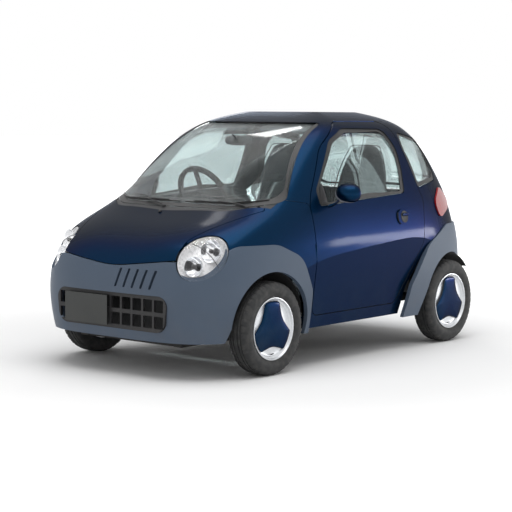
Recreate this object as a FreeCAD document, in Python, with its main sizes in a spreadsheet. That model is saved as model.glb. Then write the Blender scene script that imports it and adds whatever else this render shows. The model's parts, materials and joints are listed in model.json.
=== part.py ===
"""Two-seat city car, three-door, right-hand drive.

Frame: +X forward, +Y to the car's left, +Z up, origin on the ground at the centre of the body.
Every length is in millimetres and every angle in degrees.
"""

import FreeCAD, Part
import math
import os
import re

import Sketcher
from FreeCAD import Placement, Rotation, Vector

# Driving dimensions, one cell each
SIZES = {
    "wheelbase": 1800,
    "front_axle_x": 800,
    "front_track": 1310,
    "rear_track": 1290,
    "tyre_radius": 260.4,
    "tyre_width": 135,
    "tyre_shoulder": 9,
    "rim_width": 122,
    "rim_flange_radius": 174,
    "rim_wall": 20,
    "rim_disc_offset": 16,
    "rim_disc_thickness": 8,
    "hub_radius": 60,
    "spindle_radius": 20,
    "pin_clearance": 0.3,
    "cover_lobe_reach": 146,
    "cover_lobe_width": 125,
    "cover_lobe_corner": 14,
    "cover_waist_radius": 101,
    "cover_waist_curve": 110,
    "cover_thickness": 10,
    "brake_disc_radius": 112,
    "brake_disc_thickness": 12,
    "brake_drum_radius": 100,
    "brake_depth": 40,
    "trim_proud": 8,
    "bumper_wall": 20,
    "fender_wall": 18,
    "door_wall": 62,
    "roof_wall": 36,
    "bonnet_wall": 20,
    "glass_inset": 5,
    "glass_thickness": 5,
    "panel_gap": 5,
    "seat_gap": 0.3,
    "fender_seam": 2,
    "liner_gap": 2,
    "side_lean": 7.3,
    "side_yaw": 0.9,
    "crease_height": 660,
    "crease_half_width": 728,
    "arch_radius": 290,
    "arch_height": 285,
    "rear_arch_radius": 305,
    "rear_arch_height": 268,
    "liner_radius": 296,
    "liner_wall": 4,
    "liner_inner_y": 412,
    "front_liner_low_z": 300,
    "liner_outer_y": 676,
    "ditch_half_width": 430,
    "floor_height": 236,
    "floor_thickness": 16,
    "floor_half_width": 600,
    "boot_floor_height": 480,
    "firewall_x": 590,
    "kingpin_low_y": 592,
    "kingpin_low_z": 190,
    "kingpin_top_y": 500,
    "kingpin_top_z": 720,
    "strut_radius": 20,
    "spring_radius": 46,
    "spring_low": 370,
    "spring_length": 130,
    "steering_arm": 110,
    "steering_arm_drop": 45,
    "tie_rod_radius": 8,
    "tie_rod_gap": 2,
    "ball_radius": 12,
    "rear_beam_radius": 28,
    "engine_length": 420,
    "engine_width": 560,
    "engine_height": 400,
    "engine_x": 660,
    "engine_z": 262,
    "plate_width": 330,
    "plate_height": 165,
    "plate_thickness": 3,
    "steering_wheel_radius": 182,
    "steering_rim_radius": 14,
    "steering_wheel_x": 215,
    "steering_wheel_y": -320,
    "steering_wheel_z": 935,
    "column_rake": 26,
    "column_length": 300,
    "seat_x": -190,
    "seat_y": 320,
    "seat_width": 470,
    "mirror_x": 205,
    "mirror_y": 772,
    "mirror_z": 985,
    "fuel_lid_x": -775,
    "fuel_lid_z": 850,
    "fuel_lid_radius": 58,
    "lamp_long_radius": 160,
    "lamp_short_radius": 121,
    "lamp_depth": 60,
    "headlamp_x": 1210,
    "headlamp_y": 547,
    "headlamp_z": 684,
    "grille_bar": 22,
    "handle_x": -462,
    "handle_z": 822,
    "handle_length": 150,
    "handle_height": 90,
    "slot_first_y": 83,
    "slot_pitch": 62.5,
    "slot_lean": 34,
    "slot_low": 490,
    "slot_high": 594,
    "slot_width": 17,
    "sill_low": 225,
    "sill_high": 293,
    "lip_low": 205,
    "upper_door_wall": 26,
    "grille_x": 1336,
    "grille_depth": 14,
    "grille_rim": 22,
    "grille_vanes": 10,
    "grille_vane_width": 14,
    "front_plate_x": 1368,
    "front_plate_y": -171,
    "front_plate_z": 355,
    "rear_plate_x": -1368,
    "rear_plate_z": 560,
    "rear_liner_inner_y": 540,
    "front_rail_low": 166,
    "front_rail_depth": 34,
    "radiator_ahead": 345,
    "hinge_barrel_radius": 4,
    "bonnet_hinge_y": 548,
    "bonnet_arm_reach": 72.3,
    "bonnet_arm_drop": 13.7,
    "bonnet_arm_thickness": 6,
    "bonnet_arm_clearance": 6,
    "bonnet_pin_length": 50,
    "arm_bush_inset": 20,
    "hatch_hinge_y": 180,
    "hatch_hinge_sink": 5,
    "silencer_x": -1215,
    "silencer_z": 300,
    "silencer_radius": 75,
    "silencer_length": 400,
    "door_barrel_length": 90,
    "hinge_barrel_length": 36,
    "seat_rise": 60,
    "mirror_height": 130,
    "mirror_width": 190,
    "mirror_depth": 85,
    "mirror_foot_y": 680,
    "mirror_foot_z": 905,
}

# Horizontal contours of the body from the lower lip to the roof: height, nose, tail, half width,
# and how square the front and rear corners are
CONTOURS = {
    "lip": (170, 1330, -1302, 705, 10.0, 7.2),
    "bumper_low": (370, 1377, -1372, 740, 9.6, 7.2),
    "bumper_high": (560, 1361, -1368, 740, 8.9, 7.1),
    "bonnet_nose": (660, 1331, -1352, 737, 8.4, 7.0),
    "lamp": (740, 1268, -1328, 730, 8.5, 7.0),
    "bonnet_mid": (830, 1095, -1302, 716, 8.6, 6.8),
    "belt": (930, 803, -1275, 697, 8.4, 6.6),
    "glass_low": (1080, 630, -1192, 655, 8.0, 6.5),
    "glass_high": (1230, 447, -1085, 607, 7.4, 6.4),
    "header": (1350, 266, -964, 554, 6.4, 6.2),
    "roof_edge": (1423, 74, -834, 458, 5.2, 5.8),
    "roof_top": (1458, -110, -690, 290, 3.9, 4.6),
}

# Corner points of each outline: two coordinates in its own plane and the corner's radius
OUTLINES = {
    "door": {
        "sill_front": (430, 298, 50),
        "sill_rear": (-410, 298, 60),
        "flare_low": (-500, 420, 110),
        "flare_high": (-655, 640, 110),
        "latch": (-702, 915, 60),
        "pillar_low": (-662, 1010, 60),
        "pillar_high": (-588, 1235, 120),
        "roof_rear": (-560, 1392, 90),
        "roof_front": (-45, 1392, 160),
        "pillar_front": (215, 1243, 260),
        "mirror_top": (400, 985, 120),
        "hinge_top": (432, 915, 40),
    },
    "door_window": {
        "low_front": (346, 914, 18),
        "front": (352, 1005, 50),
        "front_high": (120, 1285, 160),
        "top_front": (-60, 1356, 140),
        "top_rear": (-468, 1350, 75),
        "rear_high": (-530, 1225, 120),
        "rear_low": (-530, 1105, 150),
        "low_rear": (-505, 962, 22),
    },
    "quarter_window": {
        "high_front": (-612, 1330, 30),
        "front_mid": (-598, 1240, 60),
        "low_front": (-676, 990, 28),
        "low_rear": (-965, 1030, 55),
        "high_rear": (-905, 1285, 70),
    },
    "windscreen": {
        "low_left": (628, 938, 30),
        "low_mid_left": (420, 905, 500),
        "low_mid_right": (-420, 905, 500),
        "low_right": (-628, 938, 30),
        "high_right": (-452, 1388, 45),
        "high_left": (452, 1388, 45),
    },
    "hatch": {
        "low_left": (532, 945, 60),
        "low_right": (-532, 945, 60),
        "high_right": (-440, 1345, 70),
        "high_left": (440, 1345, 70),
    },
    "bonnet": {
        "nose_left": (1420, 441, 0),
        "lamp_left": (1192, 418, 160),
        "side_left": (985, 496, 300),
        "rear_left": (705, 606, 12),
        "cowl_left": (868, 420, 200),
        "cowl_mid": (912, 0, 600),
        "cowl_right": (868, -420, 200),
        "rear_right": (705, -606, 12),
        "side_right": (985, -496, 300),
        "lamp_right": (1192, -418, 160),
        "nose_right": (1420, -441, 0),
    },
    "bumper_edge": {
        "left": (441, 648, 0),
        "middle": (0, 598, 900),
        "right": (-441, 648, 0),
    },
    "front_body": {
        "hinge_low": (437, 100, 0),
        "hinge_high": (437, 932, 30),
        "pillar_foot": (668, 966, 0),
        "nose_high": (1500, 966, 0),
        "nose_low": (1500, 100, 0),
    },
    "front_flare": {
        "foot": (482, 205, 14),
        "rear": (478, 450, 90),
        "rear_high": (560, 640, 170),
        "top_rear": (760, 722, 190),
        "top_front": (1050, 724, 190),
        "lamp": (1190, 640, 60),
        "nose_high": (1480, 640, 0),
        "nose_low": (1480, 100, 0),
        "lip": (482, 100, 0),
    },
    "rear_flare": {
        "foot": (-462, 215, 14),
        "front": (-520, 400, 120),
        "front_high": (-715, 640, 160),
        "top": (-960, 752, 160),
        "tail_high": (-1480, 752, 0),
        "tail_low": (-1480, 100, 0),
        "lip": (-462, 100, 0),
    },
    "front_arch_lead": {
        "top": (1020, 470, 60),
        "tip": (1150, 120, 0),
        "inner": (700, 120, 0),
        "inner_top": (700, 470, 0),
    },
    "rear_arch_lead": {
        "top": (-765, 470, 60),
        "tip": (-580, 120, 0),
        "inner": (-1100, 120, 0),
        "inner_top": (-1100, 470, 0),
    },
    "grille": {
        "top_left": (424, 458, 60),
        "low_left": (400, 258, 70),
        "low_right": (-400, 258, 70),
        "top_right": (-424, 458, 60),
    },
    "tail_lamp": {
        "low": (-888, 792, 40),
        "front": (-838, 895, 60),
        "high": (-950, 990, 36),
        "rear": (-1105, 880, 60),
    },
    "rear_panel": {
        "low_left": (560, 752, 0),
        "high_left": (560, 940, 0),
        "high_right": (-560, 940, 0),
        "low_right": (-560, 752, 0),
    },
    "floor": {
        "toe": (574, 500, 0),
        "heel": (400, 236, 60),
        "rear_heel": (-560, 236, 60),
        "kick": (-640, 480, 40),
        "tail": (-1270, 480, 0),
    },
    "dashboard": {
        "cowl": (574, 905, 0),
        "top": (330, 925, 50),
        "face": (300, 830, 60),
        "knee": (390, 700, 50),
        "toe": (574, 700, 0),
    },
    "seat_side": {
        "front_low": (215, 0, 40),
        "front_top": (235, 130, 60),
        "crease": (-160, 90, 60),
        "shoulder": (-345, 800, 200),
        "head": (-368, 976, 36),
        "head_rear": (-452, 962, 36),
        "back": (-330, 60, 60),
        "rear_low": (-260, 0, 40),
    },
    "seat_front": {
        "low_left": (215, 0, 60),
        "hip": (235, 200, 150),
        "shoulder_left": (215, 760, 160),
        "top_left": (150, 976, 120),
        "top_right": (-150, 976, 120),
        "shoulder_right": (-215, 760, 160),
        "hip_right": (-235, 200, 150),
        "low_right": (-215, 0, 60),
    },
}

CONTOUR_FIELDS = ("height", "nose", "tail", "half_width", "front_square", "rear_square")
CORNER_FIELDS = ("u", "v", "r")
WIDEST_X = "widest_x"
SIZES[WIDEST_X] = -150
CONTOUR_POINTS = 20

DOC = FreeCAD.newDocument("city_car")
SHEET = DOC.addObject("Spreadsheet::Sheet", "sizes")


def fill_sheet():
    """Writes every driving dimension to a cell of its own, with its alias."""
    cells = dict(SIZES)
    for level, row in CONTOURS.items():
        for field, amount in zip(CONTOUR_FIELDS, row):
            cells[level + "_" + field] = amount
    for outline, corners in OUTLINES.items():
        for corner, row in corners.items():
            for field, amount in zip(CORNER_FIELDS, row):
                cells["_".join((outline, corner, field))] = amount
    for number, (alias, amount) in enumerate(cells.items(), start=1):
        SHEET.set("A%d" % number, alias)
        SHEET.set("B%d" % number, str(amount))
        SHEET.setAlias("B%d" % number, alias)
    DOC.recompute()
    return set(cells)


ALIASES = fill_sheet()


def expression(text):
    """Puts the sheet's name before each alias in a formula."""
    return re.sub(
        r"[a-z][a-z_0-9]*",
        lambda word: "sizes." + word.group(0) if word.group(0) in ALIASES else word.group(0),
        text,
    )


def value(amount):
    """The number behind a plain number or a formula of aliases."""
    if isinstance(amount, str):
        return float(SHEET.evalExpression(expression(amount)))
    return float(amount)


def bind(item, **formulas):
    """Ties properties of an object to the sheet."""
    for name, amount in formulas.items():
        if isinstance(amount, str):
            item.setExpression(name, expression(amount))
        else:
            setattr(item, name, amount)


def place(item, at, turn=Rotation()):
    """Places an object, each coordinate a number or a formula."""
    item.Placement = Placement(Vector(*[value(amount) for amount in at]), turn)
    for axis, amount in zip("xyz", at):
        if isinstance(amount, str):
            item.setExpression("Placement.Base." + axis, expression(amount))
    return item


def add(kind, label):
    """A new object whose label is its name."""
    item = DOC.addObject(kind, label)
    item.Label = label
    return item


def box(label, corner, sides):
    """A block from its lowest corner."""
    item = add("Part::Box", label)
    bind(item, Length=sides[0], Width=sides[1], Height=sides[2])
    return place(item, corner)


def cylinder(label, base, axis, radius, length):
    """A cylinder from the centre of its base along an axis."""
    item = add("Part::Cylinder", label)
    bind(item, Radius=radius, Height=length)
    return place(item, base, Rotation(Vector(0, 0, 1), Vector(*axis)))


def fuse(label, *parts):
    """One solid from several."""
    item = add("Part::MultiFuse", label)
    item.Shapes = list(parts)
    return item


def together(label, *parts):
    """Solids that stay apart under one name."""
    item = add("Part::Compound", label)
    item.Links = list(parts)
    return item


def common(label, *parts):
    """What all the given solids share."""
    item = add("Part::MultiCommon", label)
    item.Shapes = list(parts)
    return item


def cut(label, base, *tools):
    """A solid less one or more tools."""
    item = add("Part::Cut", label)
    item.Base = base
    item.Tool = tools[0] if len(tools) == 1 else fuse(label + "_tools", *tools)
    return item


def mirrored(label, source):
    """The same solid on the car's other side."""
    item = add("Part::Mirroring", label)
    item.Source = source
    item.Normal = Vector(0, 1, 0)
    return item


PLANES = {
    "side": (Rotation(Vector(1, 0, 0), 90), Vector(0, 1, 0)),
    "front": (Rotation(Vector(1, 1, 1), 120), Vector(1, 0, 0)),
    "plan": (Rotation(), Vector(0, 0, 1)),
}


def corners_of(outline):
    """An outline's corners as numbers from the sheet."""
    return [
        tuple(value("_".join((outline, corner, field))) for field in CORNER_FIELDS)
        for corner in OUTLINES[outline]
    ]


def rounded(points, offset=0.0):
    """Lines and arcs of a closed outline, grown outward by an offset."""
    count = len(points)
    area = sum(
        points[i][0] * points[(i + 1) % count][1] - points[(i + 1) % count][0] * points[i][1]
        for i in range(count)
    )
    side = 1.0 if area > 0 else -1.0
    grown = []
    for i in range(count):
        before = Vector(*points[i - 1][:2])
        here = Vector(*points[i][:2])
        after = Vector(*points[(i + 1) % count][:2])
        first = (here - before).normalize()
        second = (after - here).normalize()
        turn = side * (first.x * second.y - first.y * second.x)
        normal_one = Vector(first.y, -first.x) * side
        normal_two = Vector(second.y, -second.x) * side
        shift = (normal_one + normal_two) / (1 + normal_one.dot(normal_two)) * offset
        radius = points[i][2]
        if radius > 0:
            radius = max(radius + (offset if turn > 0 else -offset), 0.5)
        grown.append((here + shift, radius))
    starts, ends, arcs = [], [], []
    for i in range(count):
        here, radius = grown[i]
        to_before = (grown[i - 1][0] - here).normalize()
        to_after = (grown[(i + 1) % count][0] - here).normalize()
        angle = to_before.getAngle(to_after)
        if radius <= 0 or angle > math.radians(179.5):
            starts.append(here)
            ends.append(here)
            arcs.append(None)
            continue
        reach = radius / math.tan(angle / 2)
        room = 0.48 * min(
            (grown[i - 1][0] - here).Length, (grown[(i + 1) % count][0] - here).Length
        )
        reach = min(reach, room)
        radius = reach * math.tan(angle / 2)
        middle = (to_before + to_after).normalize()
        centre = here + middle * (radius / math.sin(angle / 2))
        starts.append(here + to_before * reach)
        ends.append(here + to_after * reach)
        arcs.append(Part.Arc(starts[-1], centre - middle * radius, ends[-1]))
    geometry = []
    for i in range(count):
        if arcs[i]:
            geometry.append(arcs[i])
        if (starts[(i + 1) % count] - ends[i]).Length > 1e-6:
            geometry.append(Part.LineSegment(ends[i], starts[(i + 1) % count]))
    return geometry


def prism(label, plane, points, start, end, offset=0.0):
    """A straight prism on an outline, between two stations along its plane's normal."""
    turn, direction = PLANES[plane]
    sketch = add("Sketcher::SketchObject", label + "_outline")
    sketch.addGeometry(rounded(points, offset), False)
    sketch.Placement = Placement(direction * value(start), turn)
    item = add("Part::Extrusion", label)
    item.Base = sketch
    item.DirMode = "Custom"
    item.Dir = direction
    bind(item, LengthFwd="(%s) - (%s)" % (end, start))
    item.Solid = True
    return item


def origin_plane(body, role):
    """One of a body's own origin planes."""
    return next(item for item in body.Origin.OriginFeatures if item.Role == role)


def sketch_in(body, role, label):
    """An empty sketch on one of a body's origin planes."""
    sketch = body.newObject("Sketcher::SketchObject", label)
    sketch.AttachmentSupport = [(origin_plane(body, role), "")]
    sketch.MapMode = "FlatFace"
    return sketch


def loop(sketch, points):
    """A closed polygon whose corners are all tied to the sheet."""
    corners = [Vector(value(across), value(up)) for across, up in points]
    count = len(corners)
    first = sketch.GeometryCount
    for i in range(count):
        sketch.addGeometry(Part.LineSegment(corners[i], corners[(i + 1) % count]), False)
    for i in range(count):
        sketch.addConstraint(
            Sketcher.Constraint("Coincident", first + i, 2, first + (i + 1) % count, 1)
        )
    for i, point in enumerate(points):
        for kind, amount, number in zip(("DistanceX", "DistanceY"), point, corners[i]):
            index = sketch.addConstraint(
                Sketcher.Constraint(kind, -1, 1, first + i, 1, number)
            )
            if isinstance(amount, str):
                sketch.setExpression("Constraints[%d]" % index, expression(amount))


def circle(sketch, centre, radius):
    """A circle whose centre and radius are tied to the sheet."""
    middle = Vector(*[value(amount) for amount in centre])
    index = sketch.addGeometry(Part.Circle(middle, Vector(0, 0, 1), value(radius)), False)
    for kind, amount, number in zip(("DistanceX", "DistanceY"), centre, middle):
        constraint = sketch.addConstraint(Sketcher.Constraint(kind, -1, 1, index, 3, number))
        if isinstance(amount, str):
            sketch.setExpression("Constraints[%d]" % constraint, expression(amount))
    constraint = sketch.addConstraint(Sketcher.Constraint("Radius", index, value(radius)))
    if isinstance(radius, str):
        sketch.setExpression("Constraints[%d]" % constraint, expression(radius))


def lathe(label, points):
    """A body turned about its own Y axis from a half section: along the axis, then radius."""
    body = add("PartDesign::Body", label)
    sketch = sketch_in(body, "YZ_Plane", label + "_section")
    loop(sketch, points)
    turned = body.newObject("PartDesign::Revolution", label + "_turned")
    turned.Profile = sketch
    turned.ReferenceAxis = (sketch, ["H_Axis"])
    turned.Angle = 360
    return body


# Body skins

def contour(level, inset):
    """Spline poles of one horizontal contour, moved inward by an inset."""
    height, nose, tail, half, front_square, rear_square = [
        value(level + "_" + field) for field in CONTOUR_FIELDS
    ]
    widest = value(WIDEST_X)
    poles = []
    for index in range(CONTOUR_POINTS):
        angle = 2 * math.pi * (index + 0.5) / CONTOUR_POINTS
        ahead, aside = math.cos(angle), math.sin(angle)
        square = front_square if ahead >= 0 else rear_square
        reach = (nose - widest if ahead >= 0 else widest - tail) - inset
        scale = (abs(ahead) ** square + abs(aside) ** square) ** (-1 / square)
        poles.append(
            Vector(widest + reach * ahead * scale, (half - inset) * aside * scale, height - inset)
        )
    return poles


def skin(label, inset):
    """The solid inside the body's curved surface, moved inward by an inset."""
    rows = [contour(level, inset) for level in CONTOURS]
    poles = [[row[index] for row in rows] for index in range(CONTOUR_POINTS)]
    degree = 3
    spans = len(rows) - degree
    surface = Part.BSplineSurface()
    surface.buildFromPolesMultsKnots(
        poles,
        [1] * (CONTOUR_POINTS + 1),
        [degree + 1] + [1] * (spans - 1) + [degree + 1],
        [float(knot) for knot in range(CONTOUR_POINTS + 1)],
        [float(knot) for knot in range(spans + 1)],
        True,
        False,
        degree,
        degree,
    )
    caps = [Part.Face(Part.Wire(surface.vIso(end).toShape())) for end in (0.0, float(spans))]
    solid = Part.makeSolid(Part.makeShell([surface.toShape()] + caps))
    if solid.Volume < 0:
        solid.reverse()
    item = add("Part::Feature", label)
    item.Shape = solid
    return item


def surface_coordinate(solid, start, direction):
    """Where a straight line from inside a solid leaves it."""
    line = Part.makeLine(start, start + direction * 4000)
    inside = line.common(solid)
    return max((vertex.Point - start).dot(direction) for vertex in inside.Vertexes)


def side_cutter(label, depth):
    """The block outside the flat lower side, which meets the curved side at a crease."""
    item = add("Part::Box", label)
    reach = 4000
    item.Length = reach
    item.Width = reach
    item.Height = reach
    turn = Rotation(Vector(0, 0, 1), value("side_yaw")).multiply(
        Rotation(Vector(1, 0, 0), -value("side_lean"))
    )
    corner = turn.multVec(Vector(-reach / 2, 0, -reach / 2))
    anchor = Vector(0, value("crease_half_width") - depth, value("crease_height"))
    item.Placement = Placement(anchor + corner, turn)
    return item


def flat_sided(label, curved, depth):
    """A skin with its lower sides cut flat."""
    left = side_cutter(label + "_cutter_left", depth)
    return cut(label, curved, left, mirrored(label + "_cutter_right", left))


SKIN_OUTER = skin("skin_outer", 0)
SKIN_BLUE = skin("skin_blue", value("trim_proud"))
SKIN_SIDES = flat_sided("skin_sides", SKIN_BLUE, 0)
SKIN_CABIN = skin("skin_cabin", value("trim_proud + door_wall"))
SKIN_INTERIOR = skin("skin_interior", value("trim_proud + door_wall + panel_gap"))
SKIN_ROOF = skin("skin_roof", value("trim_proud + roof_wall"))
SKIN_UPPER_DOOR = skin("skin_upper_door", value("trim_proud + upper_door_wall"))
SKIN_FENDER = flat_sided(
    "skin_fender", skin("skin_fender_curved", value("trim_proud + fender_wall")), value("fender_wall")
)
SKIN_BUMPER = skin("skin_bumper", value("trim_proud + bumper_wall"))
SKIN_PILLAR = flat_sided(
    "skin_pillar",
    skin("skin_pillar_curved", value("trim_proud + bumper_wall + liner_gap")),
    value("bumper_wall + liner_gap"),
)
SKIN_BONNET = skin("skin_bonnet", value("trim_proud + bonnet_wall"))
SKIN_GLASS = skin("skin_glass", value("trim_proud + glass_inset"))
SKIN_GLASS_INNER = skin("skin_glass_inner", value("trim_proud + glass_inset + glass_thickness"))


# Cutters shared by neighbouring panels

def lamp_prism(label, offset):
    """The slanted elliptical prism that holds the left headlamp."""
    long_axis = Vector(-0.723, 0.317, 0.613).normalize()
    facing = Vector(0.684, 0.450, 0.574).normalize()
    short_axis = facing.cross(long_axis).normalize()
    turn = Rotation(long_axis, short_axis, facing, "ZXY")
    sketch = add("Sketcher::SketchObject", label + "_outline")
    sketch.addGeometry(
        Part.Ellipse(
            Vector(0, 0, 0), value("lamp_long_radius") + offset, value("lamp_short_radius") + offset
        ),
        False,
    )
    depth = value("lamp_depth")
    reach = 4 * depth
    middle = Vector(*[value("headlamp_" + axis) for axis in "xyz"])
    sketch.Placement = Placement(middle - facing * (depth + offset), turn)
    item = add("Part::Extrusion", label)
    item.Base = sketch
    item.DirMode = "Custom"
    item.Dir = facing
    item.LengthFwd = reach
    item.Solid = True
    return item


FAR = 2000
GAP = value("panel_gap")
SEAT = value("seat_gap")
EDGE = corners_of("bumper_edge")
ABOVE_LIP = box("above_lip", (-FAR, -FAR, "lip_low"), (2 * FAR, 2 * FAR, FAR))
ABOVE_SILL = box("above_sill", (-FAR, "ditch_half_width", "sill_low"), (2 * FAR, FAR, FAR))
BETWEEN_DITCHES = box(
    "between_ditches", (-FAR, "-ditch_half_width", 1200), (2 * FAR, "2 * ditch_half_width", FAR)
)
DOOR_PRISM = prism("door_prism", "side", corners_of("door"), 450, 900)
DOOR_OPENING = prism("door_opening", "side", corners_of("door"), 444, 900, GAP)
DOOR_WINDOW = prism("door_window", "side", corners_of("door_window"), 300, 900)
DOOR_PANE = prism("door_pane", "side", corners_of("door_window"), 300, 900, -SEAT)
QUARTER_WINDOW = prism("quarter_window", "side", corners_of("quarter_window"), 300, 900)
QUARTER_PANE = prism("quarter_pane", "side", corners_of("quarter_window"), 300, 900, -SEAT)
SCREEN_OPENING = prism("screen_opening", "front", corners_of("windscreen"), -100, 1500)
SCREEN_PANE = prism("screen_pane", "front", corners_of("windscreen"), -100, 1500, -SEAT)
HATCH_OPENING = prism("hatch_opening", "front", corners_of("hatch"), -1500, -700)
HATCH_PANE = prism("hatch_pane", "front", corners_of("hatch"), -1500, -700, -GAP)
REAR_PANEL_ZONE = prism("rear_panel_zone", "front", corners_of("rear_panel"), -1500, -1000)
BONNET_CORNERS = corners_of("bonnet")
BONNET_PRISM = prism("bonnet_prism", "plan", BONNET_CORNERS, 500, 1100)
BONNET_OPENING = prism("bonnet_opening", "plan", corners_of("bonnet"), 500, 1100, GAP)
BONNET_NOTCH = prism(
    "bonnet_notch", "front", EDGE + [(EDGE[2][0], 1000, 0), (EDGE[0][0], 1000, 0)], 1000, 1500
)
BELOW_BONNET = prism(
    "below_bonnet",
    "front",
    [(FAR, EDGE[0][1], 0)] + EDGE + [(-FAR, EDGE[2][1], 0), (-FAR, 0, 0), (FAR, 0, 0)],
    900,
    1500,
    GAP,
)
FRONT_BODY = prism("front_body", "side", corners_of("front_body"), 0, 900)
FRONT_BODY_SPACE = prism(
    "front_body_space", "side", corners_of("front_body"), 0, 900, value("fender_seam")
)
FRONT_FLARE = prism("front_flare", "side", corners_of("front_flare"), -900, 900)
FRONT_FLARE_SPACE = prism("front_flare_space", "side", corners_of("front_flare"), -900, 900, SEAT)
REAR_FLARE = prism("rear_flare", "side", corners_of("rear_flare"), -900, 900)
REAR_FLARE_SPACE = prism("rear_flare_space", "side", corners_of("rear_flare"), -900, 900, SEAT)
FRONT_ARCH = fuse(
    "front_arch",
    cylinder("front_arch_round", ("front_axle_x", -900, "arch_height"), (0, 1, 0), "arch_radius", 1800),
    prism("front_arch_ahead", "side", corners_of("front_arch_lead"), -900, 900),
)
REAR_ARCH = fuse(
    "rear_arch",
    cylinder(
        "rear_arch_round",
        ("front_axle_x - wheelbase", -900, "rear_arch_height"),
        (0, 1, 0),
        "rear_arch_radius",
        1800,
    ),
    prism("rear_arch_ahead", "side", corners_of("rear_arch_lead"), -900, 900),
)
TAIL_LAMP_ZONE = prism("tail_lamp_zone", "side", corners_of("tail_lamp"), 300, 900)
TAIL_LAMP_SPACE = prism("tail_lamp_space", "side", corners_of("tail_lamp"), 299, 900, SEAT)
COWL_CORNERS = corners_of("bonnet")[3:8]
COWL_REAR = value("firewall_x + seat_gap")
COWL_ZONE = prism(
    "cowl_zone",
    "plan",
    COWL_CORNERS + [(COWL_REAR, COWL_CORNERS[-1][1], 0), (COWL_REAR, COWL_CORNERS[0][1], 0)],
    800,
    990,
)
LAMP_ZONE = lamp_prism("lamp_zone", 0)
LAMP_SPACE = lamp_prism("lamp_space", SEAT)
LAMP_SPACE_RIGHT = mirrored("lamp_space_right", LAMP_SPACE)
LAMP_CLEAR = lamp_prism("lamp_clear", GAP)
LAMP_CLEAR_RIGHT = mirrored("lamp_clear_right", LAMP_CLEAR)


# Body panels

def side_frame():
    """Pillars, sill, roof rail and rear quarter of the left side."""
    wall = common("side_wall", cut("side_shell", SKIN_SIDES, SKIN_CABIN), ABOVE_SILL)
    pillar = common(
        "hinge_pillar",
        cut("hinge_pillar_shell", SKIN_PILLAR, SKIN_CABIN),
        box(
            "hinge_pillar_zone",
            ("front_body_hinge_low_u", 500, "sill_low"),
            ("firewall_x - front_body_hinge_low_u", 300, "front_body_hinge_high_v - sill_low - 20"),
        ),
    )
    sill = common(
        "sill",
        SKIN_SIDES,
        box(
            "sill_zone",
            ("rear_flare_foot_u + 4", "floor_half_width", "sill_low"),
            ("firewall_x - rear_flare_foot_u - 4", 200, "sill_high - sill_low"),
        ),
    )
    open_wall = cut(
        "open_side_wall",
        wall,
        FRONT_BODY_SPACE,
        QUARTER_WINDOW,
        SCREEN_OPENING,
        HATCH_OPENING,
        REAR_PANEL_ZONE,
        REAR_FLARE_SPACE,
        TAIL_LAMP_SPACE,
    )
    lower = cut("hinge_pillar_cut", fuse("posts", pillar, sill), FRONT_FLARE_SPACE, FRONT_ARCH)
    return cut("side_frame_left", fuse("side_members", open_wall, lower), DOOR_OPENING)


def fuel_lid_parts(side):
    """The right frame with its filler recess, and the lid with its hinge barrel."""
    centre = ("fuel_lid_x", -800, "fuel_lid_z")
    recess = cylinder(
        "filler_recess", centre, (0, 1, 0), "fuel_lid_radius + panel_gap", "800 - 640"
    )
    lid_zone = cylinder("fuel_lid_zone", centre, (0, 1, 0), "fuel_lid_radius", 200)
    hinge_x = value("fuel_lid_x + fuel_lid_radius + panel_gap / 2")
    middle = Vector(hinge_x, 0, value("fuel_lid_z"))
    hinge_y = -surface_coordinate(SKIN_BLUE.Shape, middle, Vector(0, -1, 0))
    base = (hinge_x, hinge_y, "fuel_lid_z - hinge_barrel_length / 2")
    barrel = cylinder("lid_barrel", base, (0, 0, 1), "hinge_barrel_radius", "hinge_barrel_length")
    seat_space = cylinder(
        "lid_barrel_space",
        (hinge_x, hinge_y, "fuel_lid_z - hinge_barrel_length / 2 - seat_gap"),
        (0, 0, 1),
        "hinge_barrel_radius + pin_clearance",
        "hinge_barrel_length + 2 * seat_gap",
    )
    lid = common("lid_disc", cut("lid_shell", SKIN_BLUE, SKIN_GLASS), lid_zone)
    return cut("side_frame_right", side, recess, seat_space), fuse("fuel_lid", lid, barrel)


BONNET_ARM = (
    (-8, 6),
    (-8, -6),
    (28, -52),
    (108, -46),
    (108, -18),
    (82, -12),
    (80, -34),
    (36, -38),
    (8, 6),
)


def bonnet_hinge_point():
    """The left bonnet hinge's centre inside the cowl, behind and below the bonnet's rear edge."""
    first, second = BONNET_CORNERS[3], BONNET_CORNERS[4]
    along = Vector(second[0] - first[0], second[1] - first[1])
    share = (value("bonnet_hinge_y") - first[1]) / along.y
    x = first[0] + along.x * share - value("panel_gap") / 2 - 1
    start = Vector(x, value("bonnet_hinge_y"), 400)
    z = 400 + surface_coordinate(SKIN_BLUE.Shape, start, Vector(0, 0, 1)) - 2
    return x - value("bonnet_arm_reach"), z - value("bonnet_arm_drop")


def bonnet_barrels(label, clearance):
    """The bonnet's hinge pins, which turn in the cowl."""
    x, z = bonnet_hinge_point()
    long = value("bonnet_pin_length") + 2 * clearance
    return [
        cylinder(
            label + name,
            (x, y - long / 2, z),
            (0, 1, 0),
            value("hinge_barrel_radius") + clearance,
            long,
        )
        for name, y in (("_left", value("bonnet_hinge_y")), ("_right", -value("bonnet_hinge_y")))
    ]


def bonnet_arms(label):
    """Hinge arms, bent under the cowl's front edge up to the bonnet's underside."""
    x, z = bonnet_hinge_point()
    y = value("bonnet_hinge_y")
    half = value("bonnet_arm_thickness") / 2
    corners = [(x + across, z + up, 3) for across, up in BONNET_ARM]
    left = prism(label + "_left", "side", corners, y - half, y + half)
    return left, mirrored(label + "_right", left)


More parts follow.
